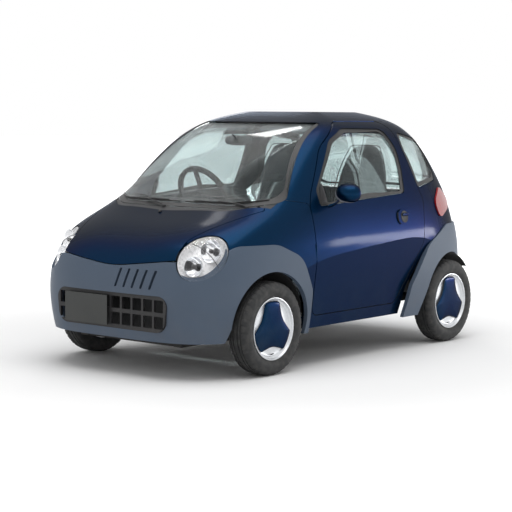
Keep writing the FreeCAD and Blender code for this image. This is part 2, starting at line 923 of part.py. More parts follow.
def bonnet_arm_slots(label):
    """The slots that the bonnet's hinge arms swing in, open below and at the cowl's front edge."""
    x, z = bonnet_hinge_point()
    half = value("bonnet_arm_thickness / 2 + bonnet_arm_clearance")
    y = value("bonnet_hinge_y") - half
    left = fuse(
        label + "_left",
        box(label + "_under", (x - 12, y, z - 64), (90, 2 * half, 76)),
        box(label + "_front", (x + 48, y, z - 64), (90, 2 * half, 160)),
    )
    return left, mirrored(label + "_right", left)


def hatch_hinge_point():
    """The centre of the hatch hinge, in the gap over the glass."""
    z = value("hatch_high_left_v - panel_gap / 2")
    skin_x = -surface_coordinate(SKIN_BLUE.Shape, Vector(0, 0, z), Vector(-1, 0, 0))
    return skin_x + value("hatch_hinge_sink"), z


def hatch_lugs(label):
    """Short webs that join the hatch's hinge barrels to its glass."""
    x, z = hatch_hinge_point()
    half = value("hinge_barrel_length") / 2 - 2
    rise = value("2 * hinge_barrel_radius")
    return [
        box(label + name, (x - 2, y - half, z - rise), (4, 2 * half, rise))
        for name, y in (("_left", value("hatch_hinge_y")), ("_right", -value("hatch_hinge_y")))
    ]


def hatch_barrels(label, clearance):
    """Hinge barrels in the gap over the hatch glass."""
    x, z = hatch_hinge_point()
    long = value("hinge_barrel_length") + 2 * clearance
    return [
        cylinder(
            label + name,
            (x, y - long / 2, z),
            (0, 1, 0),
            value("hinge_barrel_radius") + clearance,
            long,
        )
        for name, y in (("_left", value("hatch_hinge_y")), ("_right", -value("hatch_hinge_y")))
    ]


def door_barrel(label, clearance):
    """The left door's hinge barrel, in the gap ahead of the door at the crease."""
    x = value("(door_hinge_top_u + front_body_hinge_low_u) / 2")
    z = value("crease_height")
    DOC.recompute()
    y = surface_coordinate(SKIN_SIDES.Shape, Vector(x, 0, z), Vector(0, 1, 0)) - 1
    long = value("door_barrel_length") + 2 * clearance
    return cylinder(
        label, (x, y, z - long / 2), (0, 0, 1), value("hinge_barrel_radius") + clearance, long
    )


def door(window_tools):
    """The left door: a full wall below the belt and a slim frame round the window."""
    slim = common(
        "upper_door_space",
        SKIN_UPPER_DOOR,
        box("above_belt", (-FAR, -FAR, "belt_height - 35"), (2 * FAR, 2 * FAR, FAR)),
    )
    blank = common("door_blank", SKIN_SIDES, DOOR_PRISM)
    shell = cut("door_shell", blank, SKIN_CABIN, slim, window_tools)
    return fuse("door_left", shell, door_barrel("door_barrel", 0))


def pane(label, zone):
    """Glass between its two skins within a zone."""
    return common(label, GLASS_SHELL, zone)


GLASS_SHELL = cut("glass_shell", SKIN_GLASS, SKIN_GLASS_INNER)
SIDE_FRAME_LEFT = side_frame()
SIDE_FRAME_RIGHT, FUEL_LID = fuel_lid_parts(mirrored("side_frame_mirror", SIDE_FRAME_LEFT))
DOOR_LEFT = door(DOOR_WINDOW)
DOOR_RIGHT = mirrored("door_right", DOOR_LEFT)
DOOR_GLASS_LEFT = pane("door_glass_left", DOOR_PANE)
DOOR_GLASS_RIGHT = mirrored("door_glass_right", DOOR_GLASS_LEFT)
QUARTER_LEFT = pane("quarter_pane_left", QUARTER_PANE)
QUARTER_WINDOWS = together("quarter_windows", QUARTER_LEFT, mirrored("quarter_pane_right", QUARTER_LEFT))
WINDSCREEN = pane("windscreen", SCREEN_PANE)
HATCH_GLASS = fuse(
    "hatch_glass",
    common("hatch_pane_glass", cut("hatch_shell", SKIN_BLUE, SKIN_GLASS), HATCH_PANE),
    *hatch_barrels("hatch_barrel", 0),
    *hatch_lugs("hatch_lug"),
)
ROOF = cut(
    "roof_panel",
    common("roof_blank", cut("roof_shell", SKIN_BLUE, SKIN_ROOF), BETWEEN_DITCHES),
    SCREEN_OPENING,
    HATCH_OPENING,
    *hatch_barrels("hatch_barrel_space", SEAT),
)
REAR_PANEL = cut(
    "rear_panel",
    common("rear_panel_blank", cut("rear_shell", SKIN_BLUE, SKIN_ROOF), REAR_PANEL_ZONE),
    TAIL_LAMP_SPACE,
    mirrored("tail_lamp_space_right", TAIL_LAMP_SPACE),
)
BONNET_PLATE = cut(
    "bonnet_plate",
    common("bonnet_blank", cut("bonnet_shell", SKIN_BLUE, SKIN_BONNET), BONNET_PRISM),
    BELOW_BONNET,
    LAMP_CLEAR,
    LAMP_CLEAR_RIGHT,
)
BONNET = fuse(
    "bonnet", BONNET_PLATE, *bonnet_barrels("bonnet_barrel", 0), *bonnet_arms("bonnet_arm")
)
FENDER_LEFT = cut(
    "fender_left",
    common(
        "fender_blank",
        cut("fender_shell", SKIN_SIDES, SKIN_FENDER),
        FRONT_BODY,
        box("fender_zone", ("front_body_hinge_low_u", 300, "sill_high + seat_gap"), (760, 500, 800)),
    ),
    BONNET_OPENING,
    COWL_ZONE,
    SCREEN_OPENING,
    FRONT_FLARE_SPACE,
    LAMP_SPACE,
    door_barrel("door_barrel_space", SEAT),
)
FENDER_RIGHT = mirrored("fender_right", FENDER_LEFT)
COWL = cut(
    "cowl",
    common("cowl_blank", cut("cowl_shell", SKIN_GLASS, SKIN_ROOF), COWL_ZONE),
    SCREEN_OPENING,
    BONNET_OPENING,
    *bonnet_barrels("bonnet_barrel_space", SEAT),
    *bonnet_arm_slots("bonnet_arm_slot"),
)


def bumper_slots():
    """Five slanted slots on the left of the front bumper."""
    slots = []
    for number in range(5):
        top = value("slot_first_y") + number * value("slot_pitch")
        low = top - value("slot_lean")
        half = value("slot_width") / 2
        corners = [
            (low - half, value("slot_low"), 5),
            (low + half, value("slot_low"), 5),
            (top + half, value("slot_high"), 5),
            (top - half, value("slot_high"), 5),
        ]
        slots.append(prism("bumper_slot_%d" % (number + 1), "front", corners, 1200, 1500))
    return slots


GRILLE_OPENING = prism("grille_opening", "front", corners_of("grille"), 1200, 1500)
BUMPER_SHELL = cut("bumper_shell", SKIN_OUTER, SKIN_BUMPER)
FRONT_BUMPER = cut(
    "front_bumper",
    common("front_bumper_blank", BUMPER_SHELL, FRONT_FLARE, ABOVE_LIP),
    BONNET_NOTCH,
    FRONT_ARCH,
    LAMP_SPACE,
    LAMP_SPACE_RIGHT,
    GRILLE_OPENING,
    *bumper_slots(),
)
REAR_BUMPER = cut(
    "rear_bumper", common("rear_bumper_blank", BUMPER_SHELL, REAR_FLARE, ABOVE_LIP), REAR_ARCH
)
LAMP_LEFT = common("headlamp_left", SKIN_BLUE, LAMP_ZONE)
HEADLAMPS = together("headlamps", LAMP_LEFT, mirrored("headlamp_right", LAMP_LEFT))
TAIL_LEFT = common("tail_lamp_left", cut("tail_lamp_shell", SKIN_OUTER, SKIN_ROOF), TAIL_LAMP_ZONE)
TAIL_LAMPS = together("tail_lamps", TAIL_LEFT, mirrored("tail_lamp_right", TAIL_LEFT))


# Front details

def grille():
    """The black insert in the bumper's opening: a frame, one bar, upright vanes, two plate bosses."""
    face = value("grille_x + grille_depth")
    plate = prism("grille_plate", "front", corners_of("grille"), "grille_x", face, -SEAT)
    middle = (value("grille_top_left_v") + value("grille_low_left_v")) / 2
    half_bar = value("grille_bar") / 2
    rim = value("grille_rim")
    left, right = value("grille_top_left_u") - rim, value("grille_top_right_u") + rim
    top, low = value("grille_top_left_v") - rim, value("grille_low_left_v") + rim
    count = int(value("grille_vanes"))
    pitch = (left - right) / count
    wall = value("grille_vane_width") / 2
    windows = []
    for number in range(count):
        start = right + number * pitch + wall
        end = start + pitch - 2 * wall
        for name, base, high in (("low", low, middle - half_bar), ("high", middle + half_bar, top)):
            corners = [(start, base, 6), (end, base, 6), (end, high, 6), (start, high, 6)]
            windows.append(
                prism("grille_window_%s_%d" % (name, number + 1), "front", corners, 1200, 1500)
            )
    bosses = [
        cylinder(
            "plate_boss_" + name,
            (face, "front_plate_y %s plate_width / 4" % sign, middle),
            (1, 0, 0),
            9,
            "front_plate_x - grille_x - grille_depth - seat_gap",
        )
        for name, sign in (("left", "+"), ("right", "-"))
    ]
    return fuse("grille", cut("grille_frame", plate, *windows), *bosses)


def number_plates():
    """Two blank plates: one on the front bumper to the right, one on the tail."""
    front = box(
        "front_plate",
        ("front_plate_x", "front_plate_y - plate_width / 2", "front_plate_z - plate_height / 2"),
        ("plate_thickness", "plate_width", "plate_height"),
    )
    rear = box(
        "rear_plate",
        (
            "rear_plate_x - plate_thickness",
            "-plate_width / 2",
            "rear_plate_z - plate_height / 2",
        ),
        ("plate_thickness", "plate_width", "plate_height"),
    )
    return together("number_plates", front, rear)


# Wheels, each turned about its own Y axis with +Y outward

def tyre(label):
    """A plain tyre ring seated on the rim's flanges."""
    half_width, shoulder = "tyre_width / 2", "tyre_width / 2 - tyre_shoulder"
    seat_radius = "rim_flange_radius + pin_clearance"
    return lathe(
        label,
        [
            (shoulder, "tyre_radius"),
            (half_width, "tyre_radius - tyre_shoulder"),
            (half_width, seat_radius),
            ("-" + half_width, seat_radius),
            ("-" + half_width, "tyre_radius - tyre_shoulder"),
            ("-(%s)" % shoulder, "tyre_radius"),
        ],
    )


def cover_outline():
    """The wheel cover's outline: three lobes with shallow waists between them."""
    half = value("cover_lobe_width") / 2
    reach = value("cover_lobe_reach")
    corner = value("cover_lobe_corner")
    waist = value("cover_waist_radius")
    third = math.pi / 3
    lobe = (
        (-half, reach, corner),
        (half, reach, corner),
        (waist * math.sin(third), waist * math.cos(third), value("cover_waist_curve")),
    )
    corners = []
    for number in range(3):
        turn = 2 * third * number
        for across, up, radius in lobe:
            corners.append(
                (
                    across * math.cos(turn) + up * math.sin(turn),
                    up * math.cos(turn) - across * math.sin(turn),
                    radius,
                )
            )
    return corners


def wheel(label):
    """A rim and disc with the three-lobed cover fused to it."""
    inside = "rim_flange_radius - rim_wall"
    half = "rim_width / 2"
    face = "rim_disc_offset"
    back = "rim_disc_offset + rim_disc_thickness"
    bore = "spindle_radius + pin_clearance"
    body = lathe(
        label,
        [
            (half, "rim_flange_radius"),
            ("-" + half, "rim_flange_radius"),
            ("-" + half, inside),
            (face, inside),
            (face, bore),
            (back, bore),
            (back, inside),
            (half, inside),
        ],
    )
    sketch = sketch_in(body, "XZ_Plane", label + "_cover_outline")
    sketch.addGeometry(rounded(cover_outline()), False)
    sketch.AttachmentOffset = Placement(Vector(0, 0, -value(back)), Rotation())
    cover = body.newObject("PartDesign::Pad", label + "_cover")
    cover.Profile = sketch
    cover.Reversed = True
    bind(cover, Length="cover_thickness")
    body.Tip = cover
    return body


def brake_disc(label):
    """A front brake disc with its hat, seated on the inner face of the wheel's disc."""
    hat = "spindle_radius + 22"
    return lathe(
        label,
        [
            ("rim_disc_offset", "spindle_radius + pin_clearance"),
            ("rim_disc_offset", "hub_radius"),
            ("rim_disc_offset - brake_depth", "hub_radius"),
            ("rim_disc_offset - brake_depth", "brake_disc_radius"),
            ("rim_disc_offset - brake_depth - brake_disc_thickness", "brake_disc_radius"),
            ("rim_disc_offset - brake_depth - brake_disc_thickness", hat),
            ("rim_disc_offset - 8", hat),
            ("rim_disc_offset - 8", "spindle_radius + pin_clearance"),
        ],
    )


def brake_drum(label):
    """A rear drum, open on its inner side."""
    inside = "brake_drum_radius - 8"
    return lathe(
        label,
        [
            ("rim_disc_offset", "spindle_radius + pin_clearance"),
            ("rim_disc_offset", "brake_drum_radius"),
            ("rim_disc_offset - brake_depth - 6", "brake_drum_radius"),
            ("rim_disc_offset - brake_depth - 6", inside),
            ("rim_disc_offset - 8", inside),
            ("rim_disc_offset - 8", "spindle_radius + pin_clearance"),
        ],
    )


CORNERS = {
    "front_left": ("front_axle_x", "front_track / 2", 1),
    "front_right": ("front_axle_x", "-front_track / 2", -1),
    "rear_left": ("front_axle_x - wheelbase", "rear_track / 2", 1),
    "rear_right": ("front_axle_x - wheelbase", "-rear_track / 2", -1),
}


def wheel_sets():
    """Tyre, wheel and brake of each corner; the right ones are turned half a turn about +Z."""
    nodes = []
    for corner, (along, across, side) in CORNERS.items():
        turn = Rotation(Vector(0, 0, 1), 0 if side > 0 else 180)
        brake = brake_disc if corner.startswith("front") else brake_drum
        kind = "brake_disc_" if corner.startswith("front") else "brake_drum_"
        for maker, prefix in ((tyre, "tyre_"), (wheel, "wheel_"), (brake, kind)):
            nodes.append(place(maker(prefix + corner), (along, across, "tyre_radius"), turn))
    return nodes


# Front suspension and steering

def kingpin():
    """The steering axis: its lower ball and the unit vector up it, on the left."""
    low = Vector(value("front_axle_x"), value("kingpin_low_y"), value("kingpin_low_z"))
    top = Vector(value("front_axle_x"), value("kingpin_top_y"), value("kingpin_top_z"))
    return low, (top - low).normalize()


def along_kingpin(distance):
    """A point of the steering axis at a distance above the lower ball."""
    low, up = kingpin()
    return tuple(low + up * distance)


def knuckle():
    """The left knuckle: upright, spindle, steering arm, ball stud and strut tube in one piece."""
    low, up = kingpin()
    axis = tuple(up)
    upright = box(
        "upright",
        ("front_axle_x - 24", "kingpin_low_y - 30", "kingpin_low_z + 24"),
        (48, 26, 172),
    )
    carrier = cylinder(
        "hub_carrier", ("front_axle_x", "kingpin_low_y - 30", "tyre_radius"), (0, 1, 0), 38, 26
    )
    spindle = cylinder(
        "spindle",
        ("front_axle_x", "kingpin_low_y - 20", "tyre_radius"),
        (0, 1, 0),
        "spindle_radius",
        "front_track / 2 + rim_disc_offset + rim_disc_thickness - kingpin_low_y + 14",
    )
    foot = cylinder("ball_boss", along_kingpin(14), axis, 20, 30)
    stud = cylinder("ball_stud", along_kingpin(-14), axis, "ball_radius", 34)
    tube = cylinder("strut_tube", along_kingpin(150), axis, "strut_radius", 330)
    rod = cylinder("strut_rod", along_kingpin(470), axis, 9, 66)
    seat = cylinder("spring_seat", along_kingpin(value("spring_low") - 8), axis, 50, 8)
    spring = cylinder(
        "strut_spring", along_kingpin(value("spring_low")), axis, "spring_radius", "spring_length"
    )
    arm_height = value("tyre_radius - steering_arm_drop")
    arm_y = low.y + up.y / up.z * (arm_height - low.z)
    arm = box(
        "steering_arm_bar",
        ("front_axle_x - steering_arm", arm_y - 9, arm_height - 9),
        ("steering_arm", 18, 18),
    )
    eye = cylinder(
        "steering_eye",
        ("front_axle_x - steering_arm", arm_y, arm_height - 12),
        (0, 0, 1),
        "ball_radius",
        24,
    )
    return fuse(
        "knuckle_left", upright, carrier, spindle, foot, stud, tube, rod, seat, spring, arm, eye
    )


def steering_rack():
    """The rack bar and both tie rods, which end just inside the steering eyes."""
    low, up = kingpin()
    height = value("tyre_radius - steering_arm_drop")
    arm_y = low.y + up.y / up.z * (height - low.z)
    end = arm_y - value("ball_radius + tie_rod_gap")
    x = "front_axle_x - steering_arm"
    return fuse(
        "steering_rack",
        cylinder("tie_rods", (x, -end, height), (0, 1, 0), "tie_rod_radius", 2 * end),
        cylinder("rack_bar", (x, -270, height), (0, 1, 0), 13, 540),
    )


def rack_housing():
    """The tube that guides the rack, carried by the subframe."""
    height = value("tyre_radius - steering_arm_drop")
    x = "front_axle_x - steering_arm"
    outer = cylinder("rack_tube_outer", (x, -190, height), (0, 1, 0), 24, 380)
    inner = cylinder("rack_tube_bore", (x, -200, height), (0, 1, 0), "13 + pin_clearance", 400)
    return outer, inner


def front_subframe():
    """Cross member, rack housing and the lower arms out to the ball studs."""
    low, up = kingpin()
    axis = tuple(up)
    outer, inner = rack_housing()
    beam = box("cross_member", ("front_axle_x - 90", -330, 150), (120, 660, 36))
    rails = [
        box(
            "front_rail_" + name,
            ("firewall_x + seat_gap", y, "front_rail_low"),
            ("front_axle_x + 395 - firewall_x", 60, "front_rail_depth"),
        )
        for name, y in (("left", 330), ("right", -390))
    ]
    rails.append(
        box(
            "radiator_support",
            ("front_axle_x + radiator_ahead - 8", -330, "front_rail_low"),
            (50, 660, "front_rail_depth"),
        )
    )
    mounts = [
        cylinder(
            "engine_mount_" + name,
            ("front_axle_x - 30", y, 160),
            (0, 0, 1),
            30,
            "engine_z - seat_gap - 160",
        )
        for name, y in (("left", 240), ("right", -240))
    ]
    web = box("rack_web", ("front_axle_x - steering_arm - 15", -60, 160), (40, 120, 46))
    arm = fuse(
        "lower_arm_blank",
        box("lower_arm_bar", ("front_axle_x - 20", 380, 172), (40, "kingpin_low_y - 392", 24)),
        box("lower_arm_brace", ("front_axle_x - 190", 380, 172), (190, 34, 24)),
        cylinder("lower_arm_eye", along_kingpin(-12), axis, "ball_radius + 7", 24),
    )
    drilled = cut(
        "lower_arm",
        arm,
        cylinder("lower_arm_bore", along_kingpin(-40), axis, "ball_radius + pin_clearance", 80),
        cylinder("lower_arm_relief", along_kingpin(12), axis, 40, 60),
    )
    return cut(
        "front_subframe",
        fuse(
            "subframe_blank",
            beam,
            web,
            outer,
            drilled,
            mirrored("lower_arm_right", drilled),
            *(rails + mounts),
        ),
        inner,
    )


def front_wheelhouses():
    """Liners over the front wheels with the strut towers and top mounts."""
    low, up = kingpin()
    axis = tuple(up)
    shell = cut(
        "front_liner_shell",
        cylinder(
            "front_liner_outer",
            ("front_axle_x", "liner_inner_y", "arch_height"),
            (0, 1, 0),
            "liner_radius + liner_wall",
            "liner_outer_y - liner_inner_y",
        ),
        cylinder(
            "front_liner_inner",
            ("front_axle_x", "liner_inner_y + liner_wall", "arch_height"),
            (0, 1, 0),
            "liner_radius",
            "liner_outer_y - liner_inner_y",
        ),
        box(
            "front_liner_below",
            ("front_axle_x - 400", "liner_inner_y - 1", "arch_height - 400"),
            (800, 400, "front_liner_low_z - arch_height + 400"),
        ),
    )
    tower = cylinder("strut_tower_outer", along_kingpin(330), axis, 74, 218)
    hollow = cylinder("strut_tower_inner", along_kingpin(300), axis, 70, 240)
    hole = cylinder("strut_rod_hole", along_kingpin(500), axis, "9 + pin_clearance", 80)
    house = cut(
        "front_wheelhouse_left",
        fuse("front_house_blank", shell, common("tower_above", tower, box(
            "tower_zone", ("front_axle_x - 100", 380, 400), (200, 300, 400)))),
        hollow,
        hole,
    )
    trimmed = common("front_wheelhouse_trimmed", house, SKIN_PILLAR)
    return together("front_wheelhouses", trimmed, mirrored("front_wheelhouse_right", trimmed))


def rear_wheelhouses():
    """Liners between the rear wheels and the cabin."""
    x = "front_axle_x - wheelbase"
    shell = cut(
        "rear_wheelhouse_left",
        cylinder(
            "rear_liner_outer",
            (x, "rear_liner_inner_y", "rear_arch_height"),
            (0, 1, 0),
            "liner_radius + liner_wall",
            "liner_outer_y - rear_liner_inner_y",
        ),
        cylinder(
            "rear_liner_inner",
            (x, "rear_liner_inner_y + liner_wall", "rear_arch_height"),
            (0, 1, 0),
            "liner_radius",
            "liner_outer_y - rear_liner_inner_y",
        ),
        box(
            "rear_liner_below",
            (x + " - 400", "rear_liner_inner_y - 1", "rear_arch_height - 400"),
            (800, 400, "boot_floor_height - floor_thickness - rear_arch_height + 400"),
        ),
    )
    return together("rear_wheelhouses", shell, mirrored("rear_wheelhouse_right", shell))


def rear_axle():
    """Beam, trailing arms, stub spindles and spring seats in one piece."""
    x = "front_axle_x - wheelbase"
    arm_length = "floor_rear_heel_u - arm_bush_inset - seat_gap - front_axle_x + wheelbase"
    beam = cylinder(
        "rear_beam", (x, "-rear_track / 2 + 70", "tyre_radius"), (0, 1, 0), "rear_beam_radius",
        "rear_track - 140",
    )
    spindles = cylinder(
        "rear_spindles",
        (x, "-rear_track / 2 - rim_disc_offset - rim_disc_thickness", "tyre_radius"),
        (0, 1, 0),
        "spindle_radius",
        "rear_track + 2 * (rim_disc_offset + rim_disc_thickness)",
    )
    arms = [
        box("trailing_arm_" + name, (x, y, "tyre_radius - 20"), (arm_length, 36, 40))
        for name, y in (("left", 350), ("right", -386))
    ]
    springs = [
        cylinder("rear_spring_" + name, (x, y, "tyre_radius"), (0, 0, 1), 48,
                 "boot_floor_height - floor_thickness - tyre_radius")
        for name, y in (("left", 440), ("right", -440))
    ]
    return fuse("rear_axle", beam, spindles, *(arms + springs))


# Structure under and inside the cabin

def floor_pan():
    """One pressed sheet from the toe board to the tail, cut round the wheels."""
    line = corners_of("floor")
    thick = value("floor_thickness")
    lower = [(u, v - thick, r) for u, v, r in reversed(line)]
    sheet = prism("floor_sheet", "side", line + lower, "-floor_half_width", "floor_half_width")
    tail = common("floor_inside", sheet, SKIN_INTERIOR)
    houses = [
        box("rear_wheel_space_" + name, ("front_axle_x - wheelbase - 420", y, 0), (840, 300, 520))
        for name, y in (("left", "rear_liner_inner_y"), ("right", "-rear_liner_inner_y - 300"))
    ]
    return cut("floor_pan", tail, *(houses + front_wheel_spaces("toe_wheel_space")))


def front_wheel_spaces(label):
    """The space that the front wheelhouses take, with their seat gap."""
    return [
        cylinder(
            label + name,
            ("front_axle_x", y, "arch_height"),
            (0, 1, 0),
            "liner_radius + liner_wall + seat_gap",
            300,
        )
        for name, y in (("_left", "liner_inner_y - seat_gap"), ("_right", "seat_gap - liner_inner_y - 300"))
    ]


def firewall():
    """The upright panel between cabin and engine bay."""
    blank = box(
        "firewall_blank",
        ("firewall_x - floor_thickness", "-floor_half_width", "front_rail_low"),
        ("floor_thickness", "2 * floor_half_width", "belt_height - 66 - front_rail_low"),
    )
    inside = common("firewall_inside", blank, SKIN_CABIN)
    return cut("firewall", inside, *front_wheel_spaces("firewall_wheel_space"))


def seat(label, side):
    """A high-backed bucket seat: its side profile and front profile share one solid."""
    profile = prism(label + "_side", "side", corners_of("seat_side"), "-seat_width", "seat_width")
    front = prism(label + "_front", "front", corners_of("seat_front"), -600, 400)
    shape = common(label + "_cushions", profile, front)
    return place(
        together(label, shape), ("seat_x", "seat_y * %d" % side, "floor_height + seat_rise")
    )


def seat_rails():
    """Four rails that carry the seats on the floor."""
    rails = [
        box(
            "seat_rail_%d" % number,
            ("seat_x - 220", "%g * seat_y + %g" % (side, across), "floor_height"),
            (380, 30, "seat_rise"),
        )
        for number, (side, across) in enumerate(((1, -140), (1, 110), (-1, -140), (-1, 110)), start=1)
    ]
    return together("seat_rails", *rails)


def dashboard():
    """A rounded bar across the cabin below the windscreen."""
    blank = prism(
        "dashboard_blank", "side", corners_of("dashboard"), "-floor_half_width", "floor_half_width"
    )
    return common("dashboard", blank, SKIN_INTERIOR)


def column_frame():
    """Centre of the steering wheel and the unit vector from it down the column."""
    rake = math.radians(value("column_rake"))
    centre = Vector(*[value("steering_wheel_" + axis) for axis in "xyz"])
    return centre, Vector(math.cos(rake), 0, -math.sin(rake))


def steering_wheel():
    """Rim, three spokes, hub and the upper shaft, which turn together."""
    centre, down = column_frame()
    turn = Rotation(Vector(0, 0, 1), down)
    outer = "steering_wheel_radius + steering_rim_radius"
    inner = "steering_wheel_radius - steering_rim_radius"
    half = "steering_rim_radius"
    rim = lathe(
        "steering_rim",
        [
            (half + " - 6", outer),
            (half, outer + " - 6"),
            (half, inner),
            ("-" + half, inner),
            ("-" + half, outer + " - 6"),
            ("6 - " + half, outer),
        ],
    )
    rim.Placement = Placement(centre, Rotation(Vector(0, 1, 0), down))
    hub = cylinder("steering_hub", tuple(centre), tuple(down), 48, 34)
    shaft = cylinder("steering_shaft", tuple(centre), tuple(down), 11, "column_length")
    spokes = []
    for number, angle in enumerate((0, 120, 240), start=1):
        spoke = add("Part::Box", "steering_spoke_%d" % number)
        bind(spoke, Length="steering_wheel_radius - 4", Width=30, Height=12)
        spin = turn.multiply(Rotation(Vector(0, 0, 1), angle + 180))
        spoke.Placement = Placement(centre + spin.multVec(Vector(0, -15, 0)), spin)
        spokes.append(spoke)
    return fuse("steering_wheel", rim, hub, shaft, *spokes)


def steering_column():
    """The tube that holds the shaft, cut to end at the dashboard."""
    centre, down = column_frame()
    outer = cylinder("column_outer", tuple(centre + down * 44), tuple(down), 30, 200)
    inner = cylinder("column_inner", tuple(centre + down * 30), tuple(down), "11 + pin_clearance", 400)
    return outer, inner


def front_interior():
    """Dashboard with the steering column joined to it, bored for the shaft."""
    board = dashboard()
    outer, inner = steering_column()
    return cut("dashboard_column", fuse("dashboard_blank_column", board, outer), inner)


def door_mirror():
    """A rounded housing on a stalk down to the left door."""
    across, up = value("mirror_width") / 2, value("mirror_height") / 2
    middle = Vector(*[value("mirror_" + axis) for axis in "xyz"])
    corners = [
        (middle.y + side * across, middle.z + level * up, 0.85 * up)
        for side, level in ((1, -1), (1, 1), (-1, 1), (-1, -1))
    ]
    housing = prism("mirror_block", "front", corners, "mirror_x", "mirror_x + mirror_depth")
    DOC.recompute()
    front = middle.x + value("mirror_depth")
    shell = add("Part::Fillet", "mirror_shell")
    shell.Base = housing
    shell.Edges = [
        (number, 0.5 * up, 0.5 * up)
        for number, edge in enumerate(housing.Shape.Edges, start=1)
        if edge.BoundBox.XMin > front - 0.01
    ]
    foot = Vector(middle.x + 30, value("mirror_foot_y"), value("mirror_foot_z"))
    head = Vector(middle.x + 40, middle.y - 20, middle.z - 0.6 * up)
    stalk = cylinder("mirror_stalk", tuple(foot), tuple(head - foot), 13, (head - foot).Length)
    return cut("mirror_left", fuse("mirror_joined", shell, stalk), SKIN_SIDES)


MIRROR_LEFT = door_mirror()
MIRROR_RIGHT = mirrored("mirror_right", MIRROR_LEFT)
HANDLE_LEFT = common(
    "handle_left",
    cut("handle_shell", SKIN_OUTER, SKIN_BLUE),
    prism(
        "handle_zone",
        "side",
        [
            (value("handle_x") + across * value("handle_length") / 2,
             value("handle_z") + up * value("handle_height") / 2, 40)
            for across, up in ((1, -1), (1, 1), (-1, 1), (-1, -1))
        ],
        500,
        900,
    ),
)
HANDLE_RIGHT = mirrored("handle_right", HANDLE_LEFT)
ENGINE = box(
    "engine_block",
    ("engine_x", "-engine_width / 2", "engine_z"),
    ("engine_length", "engine_width", "engine_height"),
)
RADIATOR = box(
    "radiator",
    ("front_axle_x + radiator_ahead", -260, "front_rail_low + front_rail_depth + seat_gap"),
    (34, 520, 330),
)
FUEL_TANK = box("fuel_tank", (-920, -300, 300), (235, 600, "boot_floor_height - floor_thickness - 300"))
EXHAUST = fuse(
    "exhaust",
    cylinder(
        "silencer",
        ("silencer_x", "-silencer_length / 2", "silencer_z"),
        (0, 1, 0),
        "silencer_radius",
        "silencer_length",
    ),
    cylinder("tail_pipe", ("silencer_x - 47", 150, "silencer_z"), (0, 0, -1), 20, 105),
    *[
        box(
            "exhaust_hanger_" + name,
            ("silencer_x - 15", y, "silencer_z"),
            (30, 8, "boot_floor_height - floor_thickness - seat_gap - silencer_z"),
        )
        for name, y in (("left", 100), ("right", -108))
    ],
)

KNUCKLE_LEFT = knuckle()
NODES = [
    SIDE_FRAME_LEFT,
    SIDE_FRAME_RIGHT,
    FUEL_LID,
    DOOR_LEFT,
    DOOR_RIGHT,
    DOOR_GLASS_LEFT,
    DOOR_GLASS_RIGHT,
    QUARTER_WINDOWS,
    WINDSCREEN,
    HATCH_GLASS,
    ROOF,
    REAR_PANEL,
    BONNET,
    FENDER_LEFT,
    FENDER_RIGHT,
    COWL,
    FRONT_BUMPER,
    REAR_BUMPER,
    HEADLAMPS,
    TAIL_LAMPS,
    grille(),
    number_plates(),
    MIRROR_LEFT,
    MIRROR_RIGHT,
    HANDLE_LEFT,
    HANDLE_RIGHT,
    *wheel_sets(),
    KNUCKLE_LEFT,
    mirrored("knuckle_right", KNUCKLE_LEFT),
    steering_rack(),
    front_subframe(),
    front_wheelhouses(),
    rear_wheelhouses(),
    rear_axle(),
    floor_pan(),
    firewall(),
    seat("seat_left", 1),
    seat("seat_right", -1),
    seat_rails(),
    front_interior(),
    steering_wheel(),
    ENGINE,
    RADIATOR,
    FUEL_TANK,
    EXHAUST,
]


def write_nodes():
    """Recomputes the document, checks every object and writes each node."""
    DOC.recompute()
    for item in DOC.Objects:
        if {"Invalid", "Error"} & set(item.State):
            raise RuntimeError("%s did not compute: %s" % (item.Label, item.State))
    os.makedirs("parts", exist_ok=True)
    for node in NODES:
        shape = node.Shape
        if shape.isNull() or not shape.isValid():
            raise RuntimeError("%s has no valid shape" % node.Label)
        shape.exportStep("parts/%s.step" % node.Label)


write_nodes()
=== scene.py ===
"""Looks of a small blue three-door car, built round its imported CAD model."""

import json
import logging
import math
from collections.abc import Callable, Sequence
from dataclasses import dataclass, field
from enum import Enum

import bmesh
import bpy
from mathutils import Matrix, Vector
from mathutils.bvhtree import BVHTree


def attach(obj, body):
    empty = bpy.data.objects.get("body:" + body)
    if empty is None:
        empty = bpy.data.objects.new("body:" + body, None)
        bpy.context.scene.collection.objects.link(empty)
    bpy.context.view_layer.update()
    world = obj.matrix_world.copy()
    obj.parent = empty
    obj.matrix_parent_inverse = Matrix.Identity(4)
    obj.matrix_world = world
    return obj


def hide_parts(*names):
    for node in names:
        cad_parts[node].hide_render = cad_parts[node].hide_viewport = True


LOG = logging.getLogger("kei_car")
Colour = tuple[float, float, float]
Place = tuple[float, float, float]


class Side(Enum):
    """The car's two sides, with the sign of their Y."""

    LEFT = 1
    RIGHT = -1

    @property
    def tag(self) -> str:
        """The side's name as the CAD nodes spell it."""
        return self.name.lower()


class Axle(Enum):
    """The car's two axles."""

    FRONT = "front"
    REAR = "rear"


# Shader wiring

